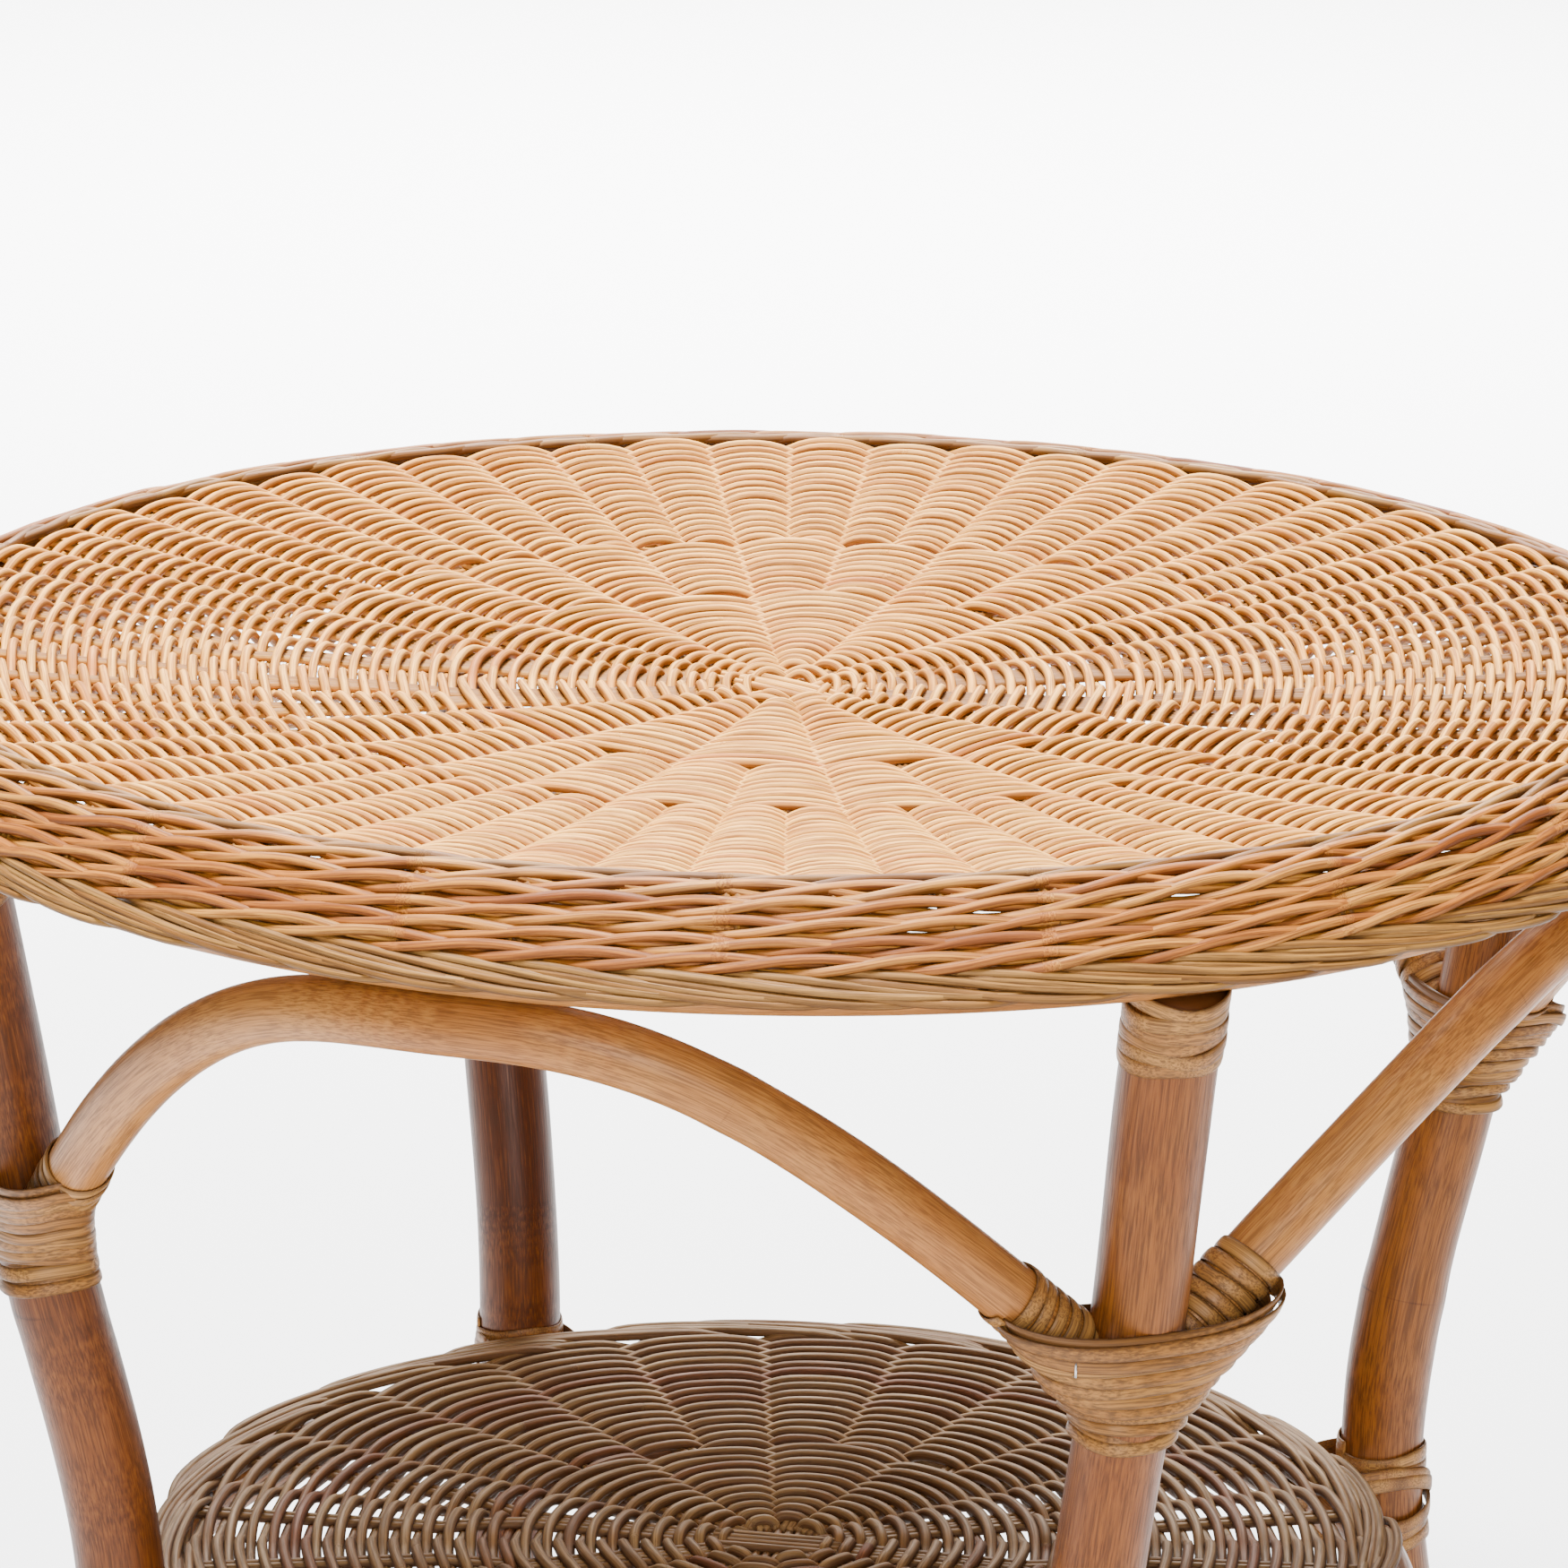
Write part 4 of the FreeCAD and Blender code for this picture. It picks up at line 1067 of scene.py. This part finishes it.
@dataclass
class WovenShelf:
    """The flat shelf: stakes, rows of weavers and its hub."""

    shape: TableShape
    stakes: int = 24
    weaver: float = 3.85 * MM
    stick: float = 3.2 * MM
    row_pitch: float = 3.55 * MM
    hub: float = 17 * MM
    split: float = 88 * MM
    lift: float = 2.5 * MM
    middle_depth: float = 4.2 * MM

    def middle(self, radius: np.ndarray) -> np.ndarray:
        """Height of the sheet's middle: almost flat, a little dished."""
        return self.shape.shelf_height - self.middle_depth - 1.6 * MM * (1 - (radius / 0.2) ** 2)

    def build(self) -> list:
        """Make the weave, the stakes and the hub sticks."""
        edge = self.shape.shelf_radius - 8 * MM
        single = np.arange(self.stakes) * TAU / self.stakes
        pair = single.reshape(-1, 2).mean(axis=1)
        rings = [StakeRing(self.hub, self.split, pair), StakeRing(self.split, edge, single)]
        sheet = WovenSheet(rings, self.row_pitch, self.weaver, self.lift, 51, self.middle, 0.6)
        radii = sheet.row_radii()
        ring_of_row = np.searchsorted([self.split], radii)
        material = SHELF_CANE.build()
        pieces = []
        for (name, index, per_stake) in (("shelf_inner", 0, 16), ("shelf_outer", 1, 14)):
            rows = np.nonzero(ring_of_row == index)[0]
            sheet.points_per_stake = per_stake
            surface = Surface()
            sheet.add_rows(surface, rings[index], radii[rows], int(rows[0]), 2 * index)
            self.redden(surface, len(rows), index)
            pieces.append((surface.build(name, material), ("shelf_weave",)))
        pieces.append((self.build_stakes(single, pair, edge), ("shelf_stakes",)))
        pieces.append((self.build_hub(material), ("shelf_hub_sticks",)))
        return pieces

    def redden(self, surface: Surface, rows: int, index: int) -> None:
        """Give a few neighbouring outer rows the redder cane."""
        if index == 1:
            values = surface.tints[0].reshape(rows, -1)
            first = int(rows * 0.62)
            values[first:first + 4] = np.clip(values[first:first + 4] + 0.6, 0, 1)

    def build_stakes(self, single: np.ndarray, pair: np.ndarray, edge: float) -> bpy.types.Object:
        """Pairs of sticks that run together to the split and then fan out."""
        stops = np.array([self.hub - 3 * MM, self.split - 6 * MM, self.split + 22 * MM,
                          edge + 7 * MM])
        index = np.arange(self.stakes)
        angle = np.stack([pair[index // 2], pair[index // 2], single, single], axis=1)
        side = np.stack([(index % 2 - 0.5) * 5.4 * MM] * 2 + [0.0 * index] * 2, axis=1)
        angle = np.repeat(angle, 2, axis=0)
        side = np.repeat(side, 2, axis=0) + np.tile([-0.5, 0.5], self.stakes)[:, None] * self.stick
        (fine, _, _, paths) = fan_sticks(stops, (5, 4, 7), angle, side)
        paths[..., 2] = self.middle(fine)[None, :]
        rng = np.random.default_rng(53)
        surface = Surface()
        surface.sweep(paths, UP, round_profile(self.stick, 6), False,
                      None, rng.uniform(0, 0.5, len(paths)), None,
                      rng.uniform(0, 9, len(paths)))
        return surface.build("shelf_stake_sticks", SHELF_CANE.build())

    def build_hub(self, material: bpy.types.Material) -> bpy.types.Object:
        """Crossing sticks at the shelf's hub."""
        rng = np.random.default_rng(57)
        surface = Surface()
        reach = self.hub + 4 * MM
        along = np.linspace(-reach, reach, 7)
        for (turn, rise) in ((10.0, 0.8), (100.0, -1.2), (55.0, -2.6)):
            angle = math.radians(turn)
            axis = np.array([math.cos(angle), math.sin(angle), 0.0])
            beside = np.array([-math.sin(angle), math.cos(angle), 0.0])
            for place in range(4):
                path = axis * along[:, None] + beside * (place - 1.5) * 3.4 * MM
                path[:, 2] = self.middle(np.abs(along)) + rise * MM
                surface.sweep(path[None], UP, round_profile(3.2 * MM, 8),
                              False, None, rng.uniform(0.1, 0.5, 1), None, rng.uniform(0, 9, 1))
        return surface.build("shelf_hub", material)


# ---------------------------------------------------------------- poles

@dataclass
class PoleSet:
    """Bent rattan poles: legs, arches and hoops."""

    shape: TableShape
    sides: int = 40

    def pole(self, name: str, path: np.ndarray, outward: np.ndarray, diameter: float,
             material: bpy.types.Material, closed: bool, rings: tuple, seed: int,
             tint: float) -> bpy.types.Object:
        """One pole with slight swellings at its node rings.

        Args:
            name: The piece's name.
            path: Stations along its middle.
            outward: Outward direction at each station.
            diameter: Pole size.
            material: Finish.
            closed: Whether it is a hoop.
            rings: Places of node rings as shares of its length.
            seed: Random seed.
            tint: Middle of its colour.

        Returns:
            The piece.
        """
        rng = np.random.default_rng(seed)
        share = np.linspace(0, 1, len(path), endpoint=not closed)
        steps = np.linalg.norm(np.diff(path, axis=0), axis=1).sum()
        mark = np.zeros(len(path))
        swell = np.zeros(len(path))
        for ring in rings:
            away = np.abs(share - ring) * steps
            mark = np.maximum(mark, np.exp(-(away / (1.6 * MM)) ** 2))
            swell = np.maximum(swell, np.exp(-(away / (7 * MM)) ** 2))
        slow = smooth_noise(rng, (1,), share * TAU, 6)
        scale = 1 + 0.012 * slow + 0.022 * swell[None, :]
        colour = np.clip(tint + 0.12 * smooth_noise(rng, (1,), share * TAU, 5), 0, 1)
        surface = Surface()
        surface.sweep(path[None], outward[None], round_profile(diameter, self.sides), closed,
                      scale, colour, 0.6 * mark[None, :], rng.uniform(0, 5, 1))
        return surface.build(name, material)

    def build(self) -> list:
        """Make every pole."""
        shape = self.shape
        pieces = []
        leg_material = LEG_POLE.build()
        arch_material = ARCH_POLE.build()
        (heights, _) = shape.leg_line()
        rings = {"front": (0.93,), "right": (0.49, 0.95), "back": (0.36, 0.9),
                 "left": (0.35, 0.97)}
        # Deeper tints on the back and left legs and a paler one on the right stand in for how
        # light falls on each leg: painted shade and painted light on one pole finish.
        tints = {"front": 0.42, "right": 0.2, "back": 1.0, "left": 0.75}
        for (number, name) in enumerate(LEG_ORDER):
            height = np.linspace(heights[-1], heights[0], 260)
            (angle, _, side_way) = leg_ways(name)
            path = polar(shape.leg_radius(height), angle, height)
            beside = np.broadcast_to(side_way, path.shape)
            piece = self.pole("leg_pole_" + name, path, beside, shape.leg_pole, leg_material,
                              False, rings[name], 60 + number, tints[name])
            pieces.append((self.level(piece), ("leg_" + name,)))
        for (number, name) in enumerate(LEG_ORDER):
            following = next_leg(number)
            middle = LEG_ANGLES[name] + QUARTER
            share = np.linspace(-0.985, 0.985, 200)
            path = shape.arch(middle, share)
            outward = unit(path * LEVEL)
            piece = self.pole("arch_pole_" + name + "_" + following, path, outward,
                              shape.arch_pole, arch_material, False, (0.31 + 0.13 * number,),
                              70 + number, 0.34)
            pieces.append((piece, ("arch_" + name + "_" + following,)))
        turn = np.linspace(0, TAU, 300, endpoint=False)
        for (name, radius, height, pole, node, tint) in (
                ("hoop_under_top", shape.hoop_radius, shape.hoop_height, shape.hoop_pole,
                 "top_hoop", 0.4),
                ("hoop_under_shelf", shape.shelf_hoop_radius, shape.shelf_hoop_height,
                 shape.shelf_hoop_pole, "shelf_hoop", 0.7)):
            path = polar(radius, turn, height)
            outward = polar(1.0, turn, 0.0)
            piece = self.pole(name, path, outward, pole, arch_material, True, (0.2, 0.7),
                              80, tint)
            pieces.append((piece, (node,)))
        return pieces

    def level(self, leg: bpy.types.Object) -> bpy.types.Object:
        """Cut the foot flat by holding every point at or above the floor."""
        count = len(leg.data.vertices)
        points = np.zeros(count * 3, np.float32)
        leg.data.vertices.foreach_get("co", points)
        points = points.reshape(-1, 3)
        points[:, 2] = np.maximum(points[:, 2], 0.0)
        leg.data.vertices.foreach_set("co", points.ravel())
        leg.data.update()
        return leg


# ---------------------------------------------------------------- peel bindings

@dataclass
class PeelBindings:
    """Flat peel wound round the joints of legs, arches and the shelf's hoop."""

    shape: TableShape
    strip: float = 5.4 * MM
    collar_strip: float = 4.3 * MM
    thickness: float = 0.8 * MM
    steps_per_turn: int = 56
    collar_turns: int = 10
    collar_top: float = 144 * MM
    collar_bottom: float = 184 * MM
    collar_reach: float = 45.5 * MM
    collar_fullness: float = 0.82
    arch_turns: float = 7.6
    arch_strip: float = 4.6 * MM

    def helix(self, centre: np.ndarray, ways: tuple, turns: float, radii: np.ndarray,
              rng: np.random.Generator, wander: float, start: float) -> tuple:
        """Ribbon path wound round a middle line.

        The point at each step is the middle line plus two square directions times the
        cosine and sine of the turn, and it wanders a little along the pole.

        Args:
            centre: Middle line, one point per step.
            ways: The two square directions and the direction along the pole.
            turns: Number of turns.
            radii: Half sizes in the two directions, per step.
            rng: Seeded source.
            wander: How far turns stray along the pole.
            start: First angle.

        Returns:
            Path and outward directions.
        """
        steps = len(centre)
        turn = start + np.linspace(0, TAU * turns, steps)
        (first, second, along) = ways
        cosine = np.cos(turn)[:, None]
        sine = np.sin(turn)[:, None]
        offset = first * cosine * radii[:, :1] + second * sine * radii[:, 1:]
        outward = unit(first * cosine * radii[:, 1:] + second * sine * radii[:, :1])
        stray = smooth_noise(rng, (), np.linspace(0, TAU, steps), int(3 * turns) + 2)
        lay = smooth_noise(rng, (), np.linspace(0, TAU, steps), int(2 * turns) + 1)
        path = centre + offset + along * wander * stray[:, None]
        return path + outward * 0.22 * MM * (1 + np.clip(lay, -1, 1))[:, None], outward

    def ribbon(self, surface: Surface, path: np.ndarray, outward: np.ndarray, width: float,
               rng: np.random.Generator, tint: float) -> None:
        """Lay one strip on a surface."""
        steps = np.linspace(0, TAU, len(path))
        shade = np.clip(tint + 0.3 * smooth_noise(rng, (1,), steps, 17), 0, 1)
        scale = 1 + 0.08 * smooth_noise(rng, (1,), steps, 9)
        surface.sweep(path[None], outward[None], strip_profile(width, self.thickness), False,
                      np.clip(scale, 0.85, 1.15), shade, None, rng.uniform(0, 20, 1))

    def collar(self, name: str, seed: int) -> bpy.types.Object:
        """Tapered winding that gathers a leg and its two arch ends.

        The half width falls from the arch ends' reach to the leg's own radius, and each
        turn sags between the arch ends.

        Args:
            name: Leg name.
            seed: Random seed.

        Returns:
            The piece.
        """
        rng = np.random.default_rng(seed)
        shape = self.shape
        (angle, outward_way, side_way) = leg_ways(name)
        turns = self.collar_turns
        steps = self.steps_per_turn * turns
        share = np.linspace(0, 1, steps)
        pace = 0.86 * share + 0.14 * share ** 2 + 0.02 * np.sin(TAU * 2.3 * share)
        top = shape.shoulder_height - self.collar_top
        bottom = shape.shoulder_height - self.collar_bottom
        height = top + (bottom - top) * pace
        half_leg = shape.leg_pole / 2 + 0.5 * MM
        reach = self.collar_reach
        width = np.maximum(half_leg, reach + (half_leg - reach) * pace * 1.15)
        depth = half_leg + 1.6 * MM * np.clip(1 - 1.4 * pace, 0, 1)
        turn = rng.uniform(0, TAU) + np.linspace(0, TAU * turns, steps)
        cosine = squared_off(np.cos(turn), self.collar_fullness)
        sine = squared_off(np.sin(turn), self.collar_fullness)
        sag = 6 * MM * np.clip(1 - pace * 1.1, 0.12, 1) * (np.abs(np.sin(turn)) ** 1.5 - 0.35)
        tilt = 1.2 * MM * np.sin(turn + rng.uniform(0, TAU))
        stray = 0.7 * MM * smooth_noise(rng, (), np.linspace(0, TAU, steps), 26)
        level = height - sag + tilt + stray
        path = polar(shape.leg_radius(level), angle, level)
        path = path + side_way * (cosine * width)[:, None] + outward_way * (sine * depth)[:, None]
        outward = unit(side_way * (np.cos(turn) * depth)[:, None]
                       + outward_way * (np.sin(turn) * width)[:, None])
        leaning = 0.3 - 0.85 * np.abs(cosine) * (1 - pace)
        outward = unit(outward + UP * leaning[:, None])
        lay = smooth_noise(rng, (), np.linspace(0, TAU, steps), 15)
        path = path + outward * 0.25 * MM * (1 + np.clip(lay, -1, 1))[:, None]
        surface = Surface()
        # Painted shade: a wider, deep-tinted strip just inside and above the turns shows as dark
        # bands between them.
        gap_shade_strip = path - outward * 0.9 * MM + UP * 2.1 * MM
        self.ribbon(surface, gap_shade_strip, outward, self.strip, rng, 0.95)
        self.ribbon(surface, path, outward, self.collar_strip, rng, 0.35)
        return surface.build("collar_wrap_" + name, self.material)

    def arch_wrap(self, middle: float, side: int, label: str, seed: int) -> bpy.types.Object:
        """Close winding round one end of an arch."""
        rng = np.random.default_rng(seed)
        shape = self.shape
        turns = self.arch_turns
        steps = int(self.steps_per_turn * turns)
        share = np.linspace(0.80, 0.945, steps) * side
        centre = shape.arch(middle, share)
        along = unit(np.gradient(centre, axis=0))
        first = unit(centre * LEVEL)
        first = unit(first - (first * along).sum(-1, keepdims=True) * along)
        second = np.cross(along, first)
        radius = shape.arch_pole / 2 + 0.25 * MM
        radii = np.full((steps, 2), radius)
        (path, outward) = self.helix(centre, (first, second, along), turns, radii, rng,
                                     0.45 * MM, rng.uniform(0, TAU))
        surface = Surface()
        self.ribbon(surface, path, outward, self.arch_strip, rng, 0.05)
        return surface.build("arch_end_wrap_" + label, self.material)

    def leg_winding(self, surface: Surface, name: str, high: float, low: float, turns: float,
                    seed: int) -> None:
        """Add a winding round a leg between two heights to a surface."""
        rng = np.random.default_rng(seed)
        shape = self.shape
        (angle, _, side_way) = leg_ways(name)
        steps = int(self.steps_per_turn * turns)
        height = np.linspace(high, low, steps)
        centre = polar(shape.leg_radius(height), angle, height)
        along = unit(np.gradient(centre, axis=0))
        first = np.broadcast_to(side_way, centre.shape)
        second = np.cross(along, first)
        radii = np.full((steps, 2), shape.leg_pole / 2 + 0.25 * MM)
        (path, outward) = self.helix(centre, (first, second, along), turns, radii, rng,
                                     1.1 * MM, rng.uniform(0, TAU))
        self.ribbon(surface, path, outward, self.strip, rng, 0.3)

    def shelf_tie(self, name: str, seed: int) -> bpy.types.Object:
        """Windings above and below the shelf's hoop, and crossed loops over leg and hoop.

        A crossed loop is a tilted oval round both poles: above the hoop on one side of
        the leg and below it on the other.

        Args:
            name: Leg name.
            seed: Random seed.

        Returns:
            The piece.
        """
        rng = np.random.default_rng(seed)
        shape = self.shape
        middle = shape.shelf_hoop_height
        surface = Surface()
        self.leg_winding(surface, name, middle + 17 * MM, middle + 9.5 * MM, 2.0, seed)
        self.leg_winding(surface, name, middle - 9.5 * MM, middle - 15 * MM, 1.6, seed + 1)
        (_, outward_way, side_way) = leg_ways(name)
        turn = np.linspace(0, TAU * 1.02, 90)
        leg_place = float(shape.leg_radius(np.array([middle]))[0])
        reach_in = shape.leg_pole / 2 + shape.shelf_hoop_pole + 1.2 * MM
        reach_out = shape.leg_pole / 2 + 0.9 * MM
        loops = ((1, 11.5, 0.0), (-1, 11.0, 0.4), (1, 8.5, 0.8), (-1, 8.2, 1.2))
        for (sign, rise, shift) in loops:
            centre_out = (reach_out - reach_in) / 2 + shift * 0.3 * MM
            half_out = (reach_out + reach_in) / 2 + shift * 0.4 * MM
            half_side = shape.leg_pole / 2 + (1.6 + 0.4 * shift) * MM
            across = squared_off(np.cos(turn), 0.75) * half_side
            out = centre_out + squared_off(np.sin(turn), 0.8) * half_out
            height = middle + sign * rise * MM * np.cos(turn)
            path = outward_way * (leg_place + out)[:, None] + side_way * across[:, None]
            path[:, 2] = height
            outward = unit(side_way * (np.cos(turn) * half_out)[:, None]
                           + outward_way * (np.sin(turn) * half_side)[:, None])
            self.ribbon(surface, path, outward, self.strip, rng, 0.4)
        return surface.build("shelf_tie_" + name, self.material)

    def build(self) -> list:
        """Make every binding."""
        self.material = PEEL.build()
        pieces = []
        shape = self.shape
        under_hoop = shape.hoop_height - shape.hoop_pole / 2
        for (number, name) in enumerate(LEG_ORDER):
            following = next_leg(number)
            pieces.append((self.collar(name, 100 + number), ("collar_" + name,)))
            top = Surface()
            self.leg_winding(top, name, under_hoop + 1.6 * MM, under_hoop - 20 * MM, 5.8,
                             120 + number)
            pieces.append((top.build("leg_top_wrap_" + name, self.material),
                           ("top_binding_" + name,)))
            pieces.append((self.shelf_tie(name, 140 + number), ("shelf_binding_" + name,)))
            middle = LEG_ANGLES[name] + QUARTER
            for (side, end) in ((-1, name), (1, following)):
                label = name + "_" + following + "_at_" + end
                pieces.append((self.arch_wrap(middle, side, label, 160 + 2 * number + side),
                               ("arch_wrap_" + label,)))
        return pieces


# ---------------------------------------------------------------- studio

@dataclass
class Studio:
    """Pale floor, soft lights and the camera."""

    shape: TableShape
    azimuth: float = -69.06
    distance: float = 2.2657
    rise: float = 0.5768
    pitch: float = 0.2706
    roll: float = 0.0131
    lens: float = 170.92
    shift_x: float = -0.0012
    shift_y: float = 0.0007
    floor_half: float = 14.0
    floor_shade: float = 0.72
    surroundings: float = 0.13
    lights: tuple = (("key", (-0.35, -0.3, 2.8), 1.0, 150.0, (0.0, 0.0, 0.4)),
                     ("fill", (0.2, -2.7, 1.1), 1.4, 34.0, (0.0, 0.0, 0.3)),
                     ("backdrop", (0.0, 3.3, 2.6), 2.6, 620.0, (0.0, 2.9, 0.0)))

    def build(self) -> None:
        """Make the camera, the floor and the lights."""
        self.build_camera()
        self.build_floor()
        self.build_lights()

    def build_camera(self) -> None:
        """Camera beside the table, looking a little down at it."""
        camera = bpy.data.objects.new("camera", bpy.data.cameras.new("camera"))
        bpy.context.scene.collection.objects.link(camera)
        angle = math.radians(self.azimuth)
        place = Vector((math.cos(angle) * self.distance, math.sin(angle) * self.distance,
                        self.shape.shoulder_height + self.rise))
        ahead = Vector((-math.cos(angle) * math.cos(self.pitch),
                        -math.sin(angle) * math.cos(self.pitch), -math.sin(self.pitch)))
        right = ahead.cross(Vector((0, 0, 1))).normalized()
        up = right.cross(ahead)
        turned_right = right * math.cos(self.roll) + up * math.sin(self.roll)
        turned_up = up * math.cos(self.roll) - right * math.sin(self.roll)
        matrix = Matrix((turned_right, turned_up, -ahead)).transposed().to_4x4()
        matrix.translation = place
        camera.matrix_world = matrix
        camera.data.lens = self.lens
        camera.data.sensor_width = 36.0
        camera.data.shift_x = self.shift_x
        camera.data.shift_y = self.shift_y
        camera.data.clip_end = 50.0
        bpy.context.scene.camera = camera

    def build_floor(self) -> None:
        """Wide pale floor."""
        half = self.floor_half
        mesh = bpy.data.meshes.new("floor")
        mesh.from_pydata([(-half, -half, 0), (half, -half, 0), (half, half, 0), (-half, half, 0)],
                         [], [(0, 1, 2, 3)])
        floor = bpy.data.objects.new("floor", mesh)
        bpy.context.scene.collection.objects.link(floor)
        material = bpy.data.materials.new("floor")
        material.use_nodes = True
        shader = material.node_tree.nodes["Principled BSDF"]
        shader.inputs["Base Color"].default_value = (self.floor_shade,) * 3 + (1,)
        shader.inputs["Roughness"].default_value = 0.9
        mesh.materials.append(material)

    def build_lights(self) -> None:
        """Even white surroundings, a soft key from above, a weaker fill and a backdrop light."""
        world = bpy.data.worlds.new("studio")
        bpy.context.scene.world = world
        world.use_nodes = True
        background = world.node_tree.nodes["Background"]
        background.inputs["Color"].default_value = (1.0, 0.995, 0.985, 1)
        background.inputs["Strength"].default_value = self.surroundings
        for (name, place, size, power, target) in self.lights:
            light = bpy.data.lights.new(name, "AREA")
            light.size = size
            light.spread = math.radians(120)
            light.energy = power
            holder = bpy.data.objects.new(name, light)
            bpy.context.scene.collection.objects.link(holder)
            angle = math.radians(self.azimuth + 90)
            turn = Matrix.Rotation(angle, 3, "Z")
            turned = turn @ Vector(place)
            aim = turn @ Vector(target) - turned
            holder.matrix_world = Matrix.Translation(turned) @ aim.to_track_quat(
                "-Z", "Y").to_matrix().to_4x4()


def steel_finish() -> bpy.types.Material:
    """Plain steel of the nails, screws and staples."""
    steel = bpy.data.materials.new("steel_fastener")
    steel.use_nodes = True
    shader = steel.node_tree.nodes["Principled BSDF"]
    shader.inputs["Base Color"].default_value = (0.62, 0.61, 0.59, 1)
    shader.inputs["Metallic"].default_value = 1.0
    shader.inputs["Roughness"].default_value = 0.35
    return steel


@dataclass
class Fasteners:
    """Wire staples in the collars and nails in the arch ends, driven in under the peel."""

    shape: TableShape
    steel: bpy.types.Material
    staple_drop: float = 154 * MM
    staple_offset: float = -26.0 * MM
    wire: float = 0.8 * MM
    nail: float = 2.4 * MM

    def rod(self, surface: Surface, path: np.ndarray, outward: np.ndarray, diameter: float,
            sides: int) -> None:
        """Add one plain wire or nail of four stations to a surface."""
        surface.sweep(path[None], np.broadcast_to(outward, path.shape)[None],
                      round_profile(diameter, sides), False, np.ones(4),
                      np.full((1, 4), 0.5), None, np.zeros(1))

    def build_staples(self) -> bpy.types.Object:
        """Upright wire staples in the peel at the wide end of each collar."""
        surface = Surface()
        middle = self.shape.shoulder_height - self.staple_drop
        levels = middle + np.array([2.0, 2.0, -2.0, -2.0]) * MM
        depths = np.array([11.6, 14.5, 14.5, 11.6]) * MM
        for name in LEG_ORDER:
            (angle, _, side_way) = leg_ways(name)
            side = side_way * self.staple_offset
            radius = self.shape.leg_radius(np.full(4, middle)) + depths
            self.rod(surface, polar(radius, angle, levels) + side, unit(side), self.wire, 6)
        return surface.build("wire_staples", self.steel)

    def build_nails(self) -> bpy.types.Object:
        """Nails from the arch ends into the legs."""
        surface = Surface()
        shape = self.shape
        height = shape.arch(0.0, np.array([1.0]))[:, 2] + shape.leg_pole / 2
        reach = np.array([6.0, 11.0, 16.0, 21.0]) * MM
        for name in LEG_ORDER:
            angle = leg_ways(name)[0]
            for side in (-1, 1):
                away = polar(1.0, angle + side * math.pi / 2, 0.0)
                path = polar(shape.leg_radius(height), angle, height) + away * reach[:, None]
                self.rod(surface, path, UP, self.nail, 10)
        return surface.build("arch_nails", self.steel)

    def build(self) -> list:
        """Make the staples and the nails."""
        return [(self.build_staples(), ("binding_staples",)),
                (self.build_nails(), ("arch_end_nails",))]


def polish_metal(steel: bpy.types.Material) -> None:
    """Give the CAD nodes of the nails, screws and staples their plain steel."""
    for (name, node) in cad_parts.items():
        if any(word in name for word in ("nails", "screws", "staples")):
            node.data.materials.clear()
            node.data.materials.append(steel)


def main() -> None:
    """Build the table around the frame and report each piece."""
    logging.basicConfig(level=logging.INFO, format="%(name)s %(message)s")
    shape = TableShape()
    lean = math.atan2(shape.skirt_flare, shape.skirt_drop)
    border_centre = (shape.border_radius - 5.0 * MM, shape.shoulder_height - 28.9 * MM)
    top_border = ClosingBorder("plaited_border", "top_border", 60, border_centre,
                               (math.sin(lean), -math.cos(lean)), 3.4, 7.2 * MM, 5.6 * MM,
                               3.0 * MM, BORDER_CANE)
    shelf_centre = (shape.shelf_radius - 6.2 * MM, shape.shelf_height - 3.4 * MM)
    shelf_border = ClosingBorder("shelf_plaited_border", "shelf_border", 24, shelf_centre,
                                 (1.0, 0.0), 2.4, 8.4 * MM, 5.4 * MM, 3.4 * MM, SHELF_CANE,
                                 3, 43, 30, 0.3)
    steel = steel_finish()
    assemblies = [WovenTop(shape), WaledRim(shape), top_border, WovenShelf(shape), shelf_border,
                  PoleSet(shape), PeelBindings(shape), Fasteners(shape, steel)]
    for assembly in assemblies:
        for (piece, nodes) in assembly.build():
            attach(piece, "root")
            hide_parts(*nodes)
            LOG.info("%s: %d faces for %s", piece.name, len(piece.data.polygons), nodes)
    polish_metal(steel)
    Studio(shape).build()


if __name__ == "__main__":
    main()
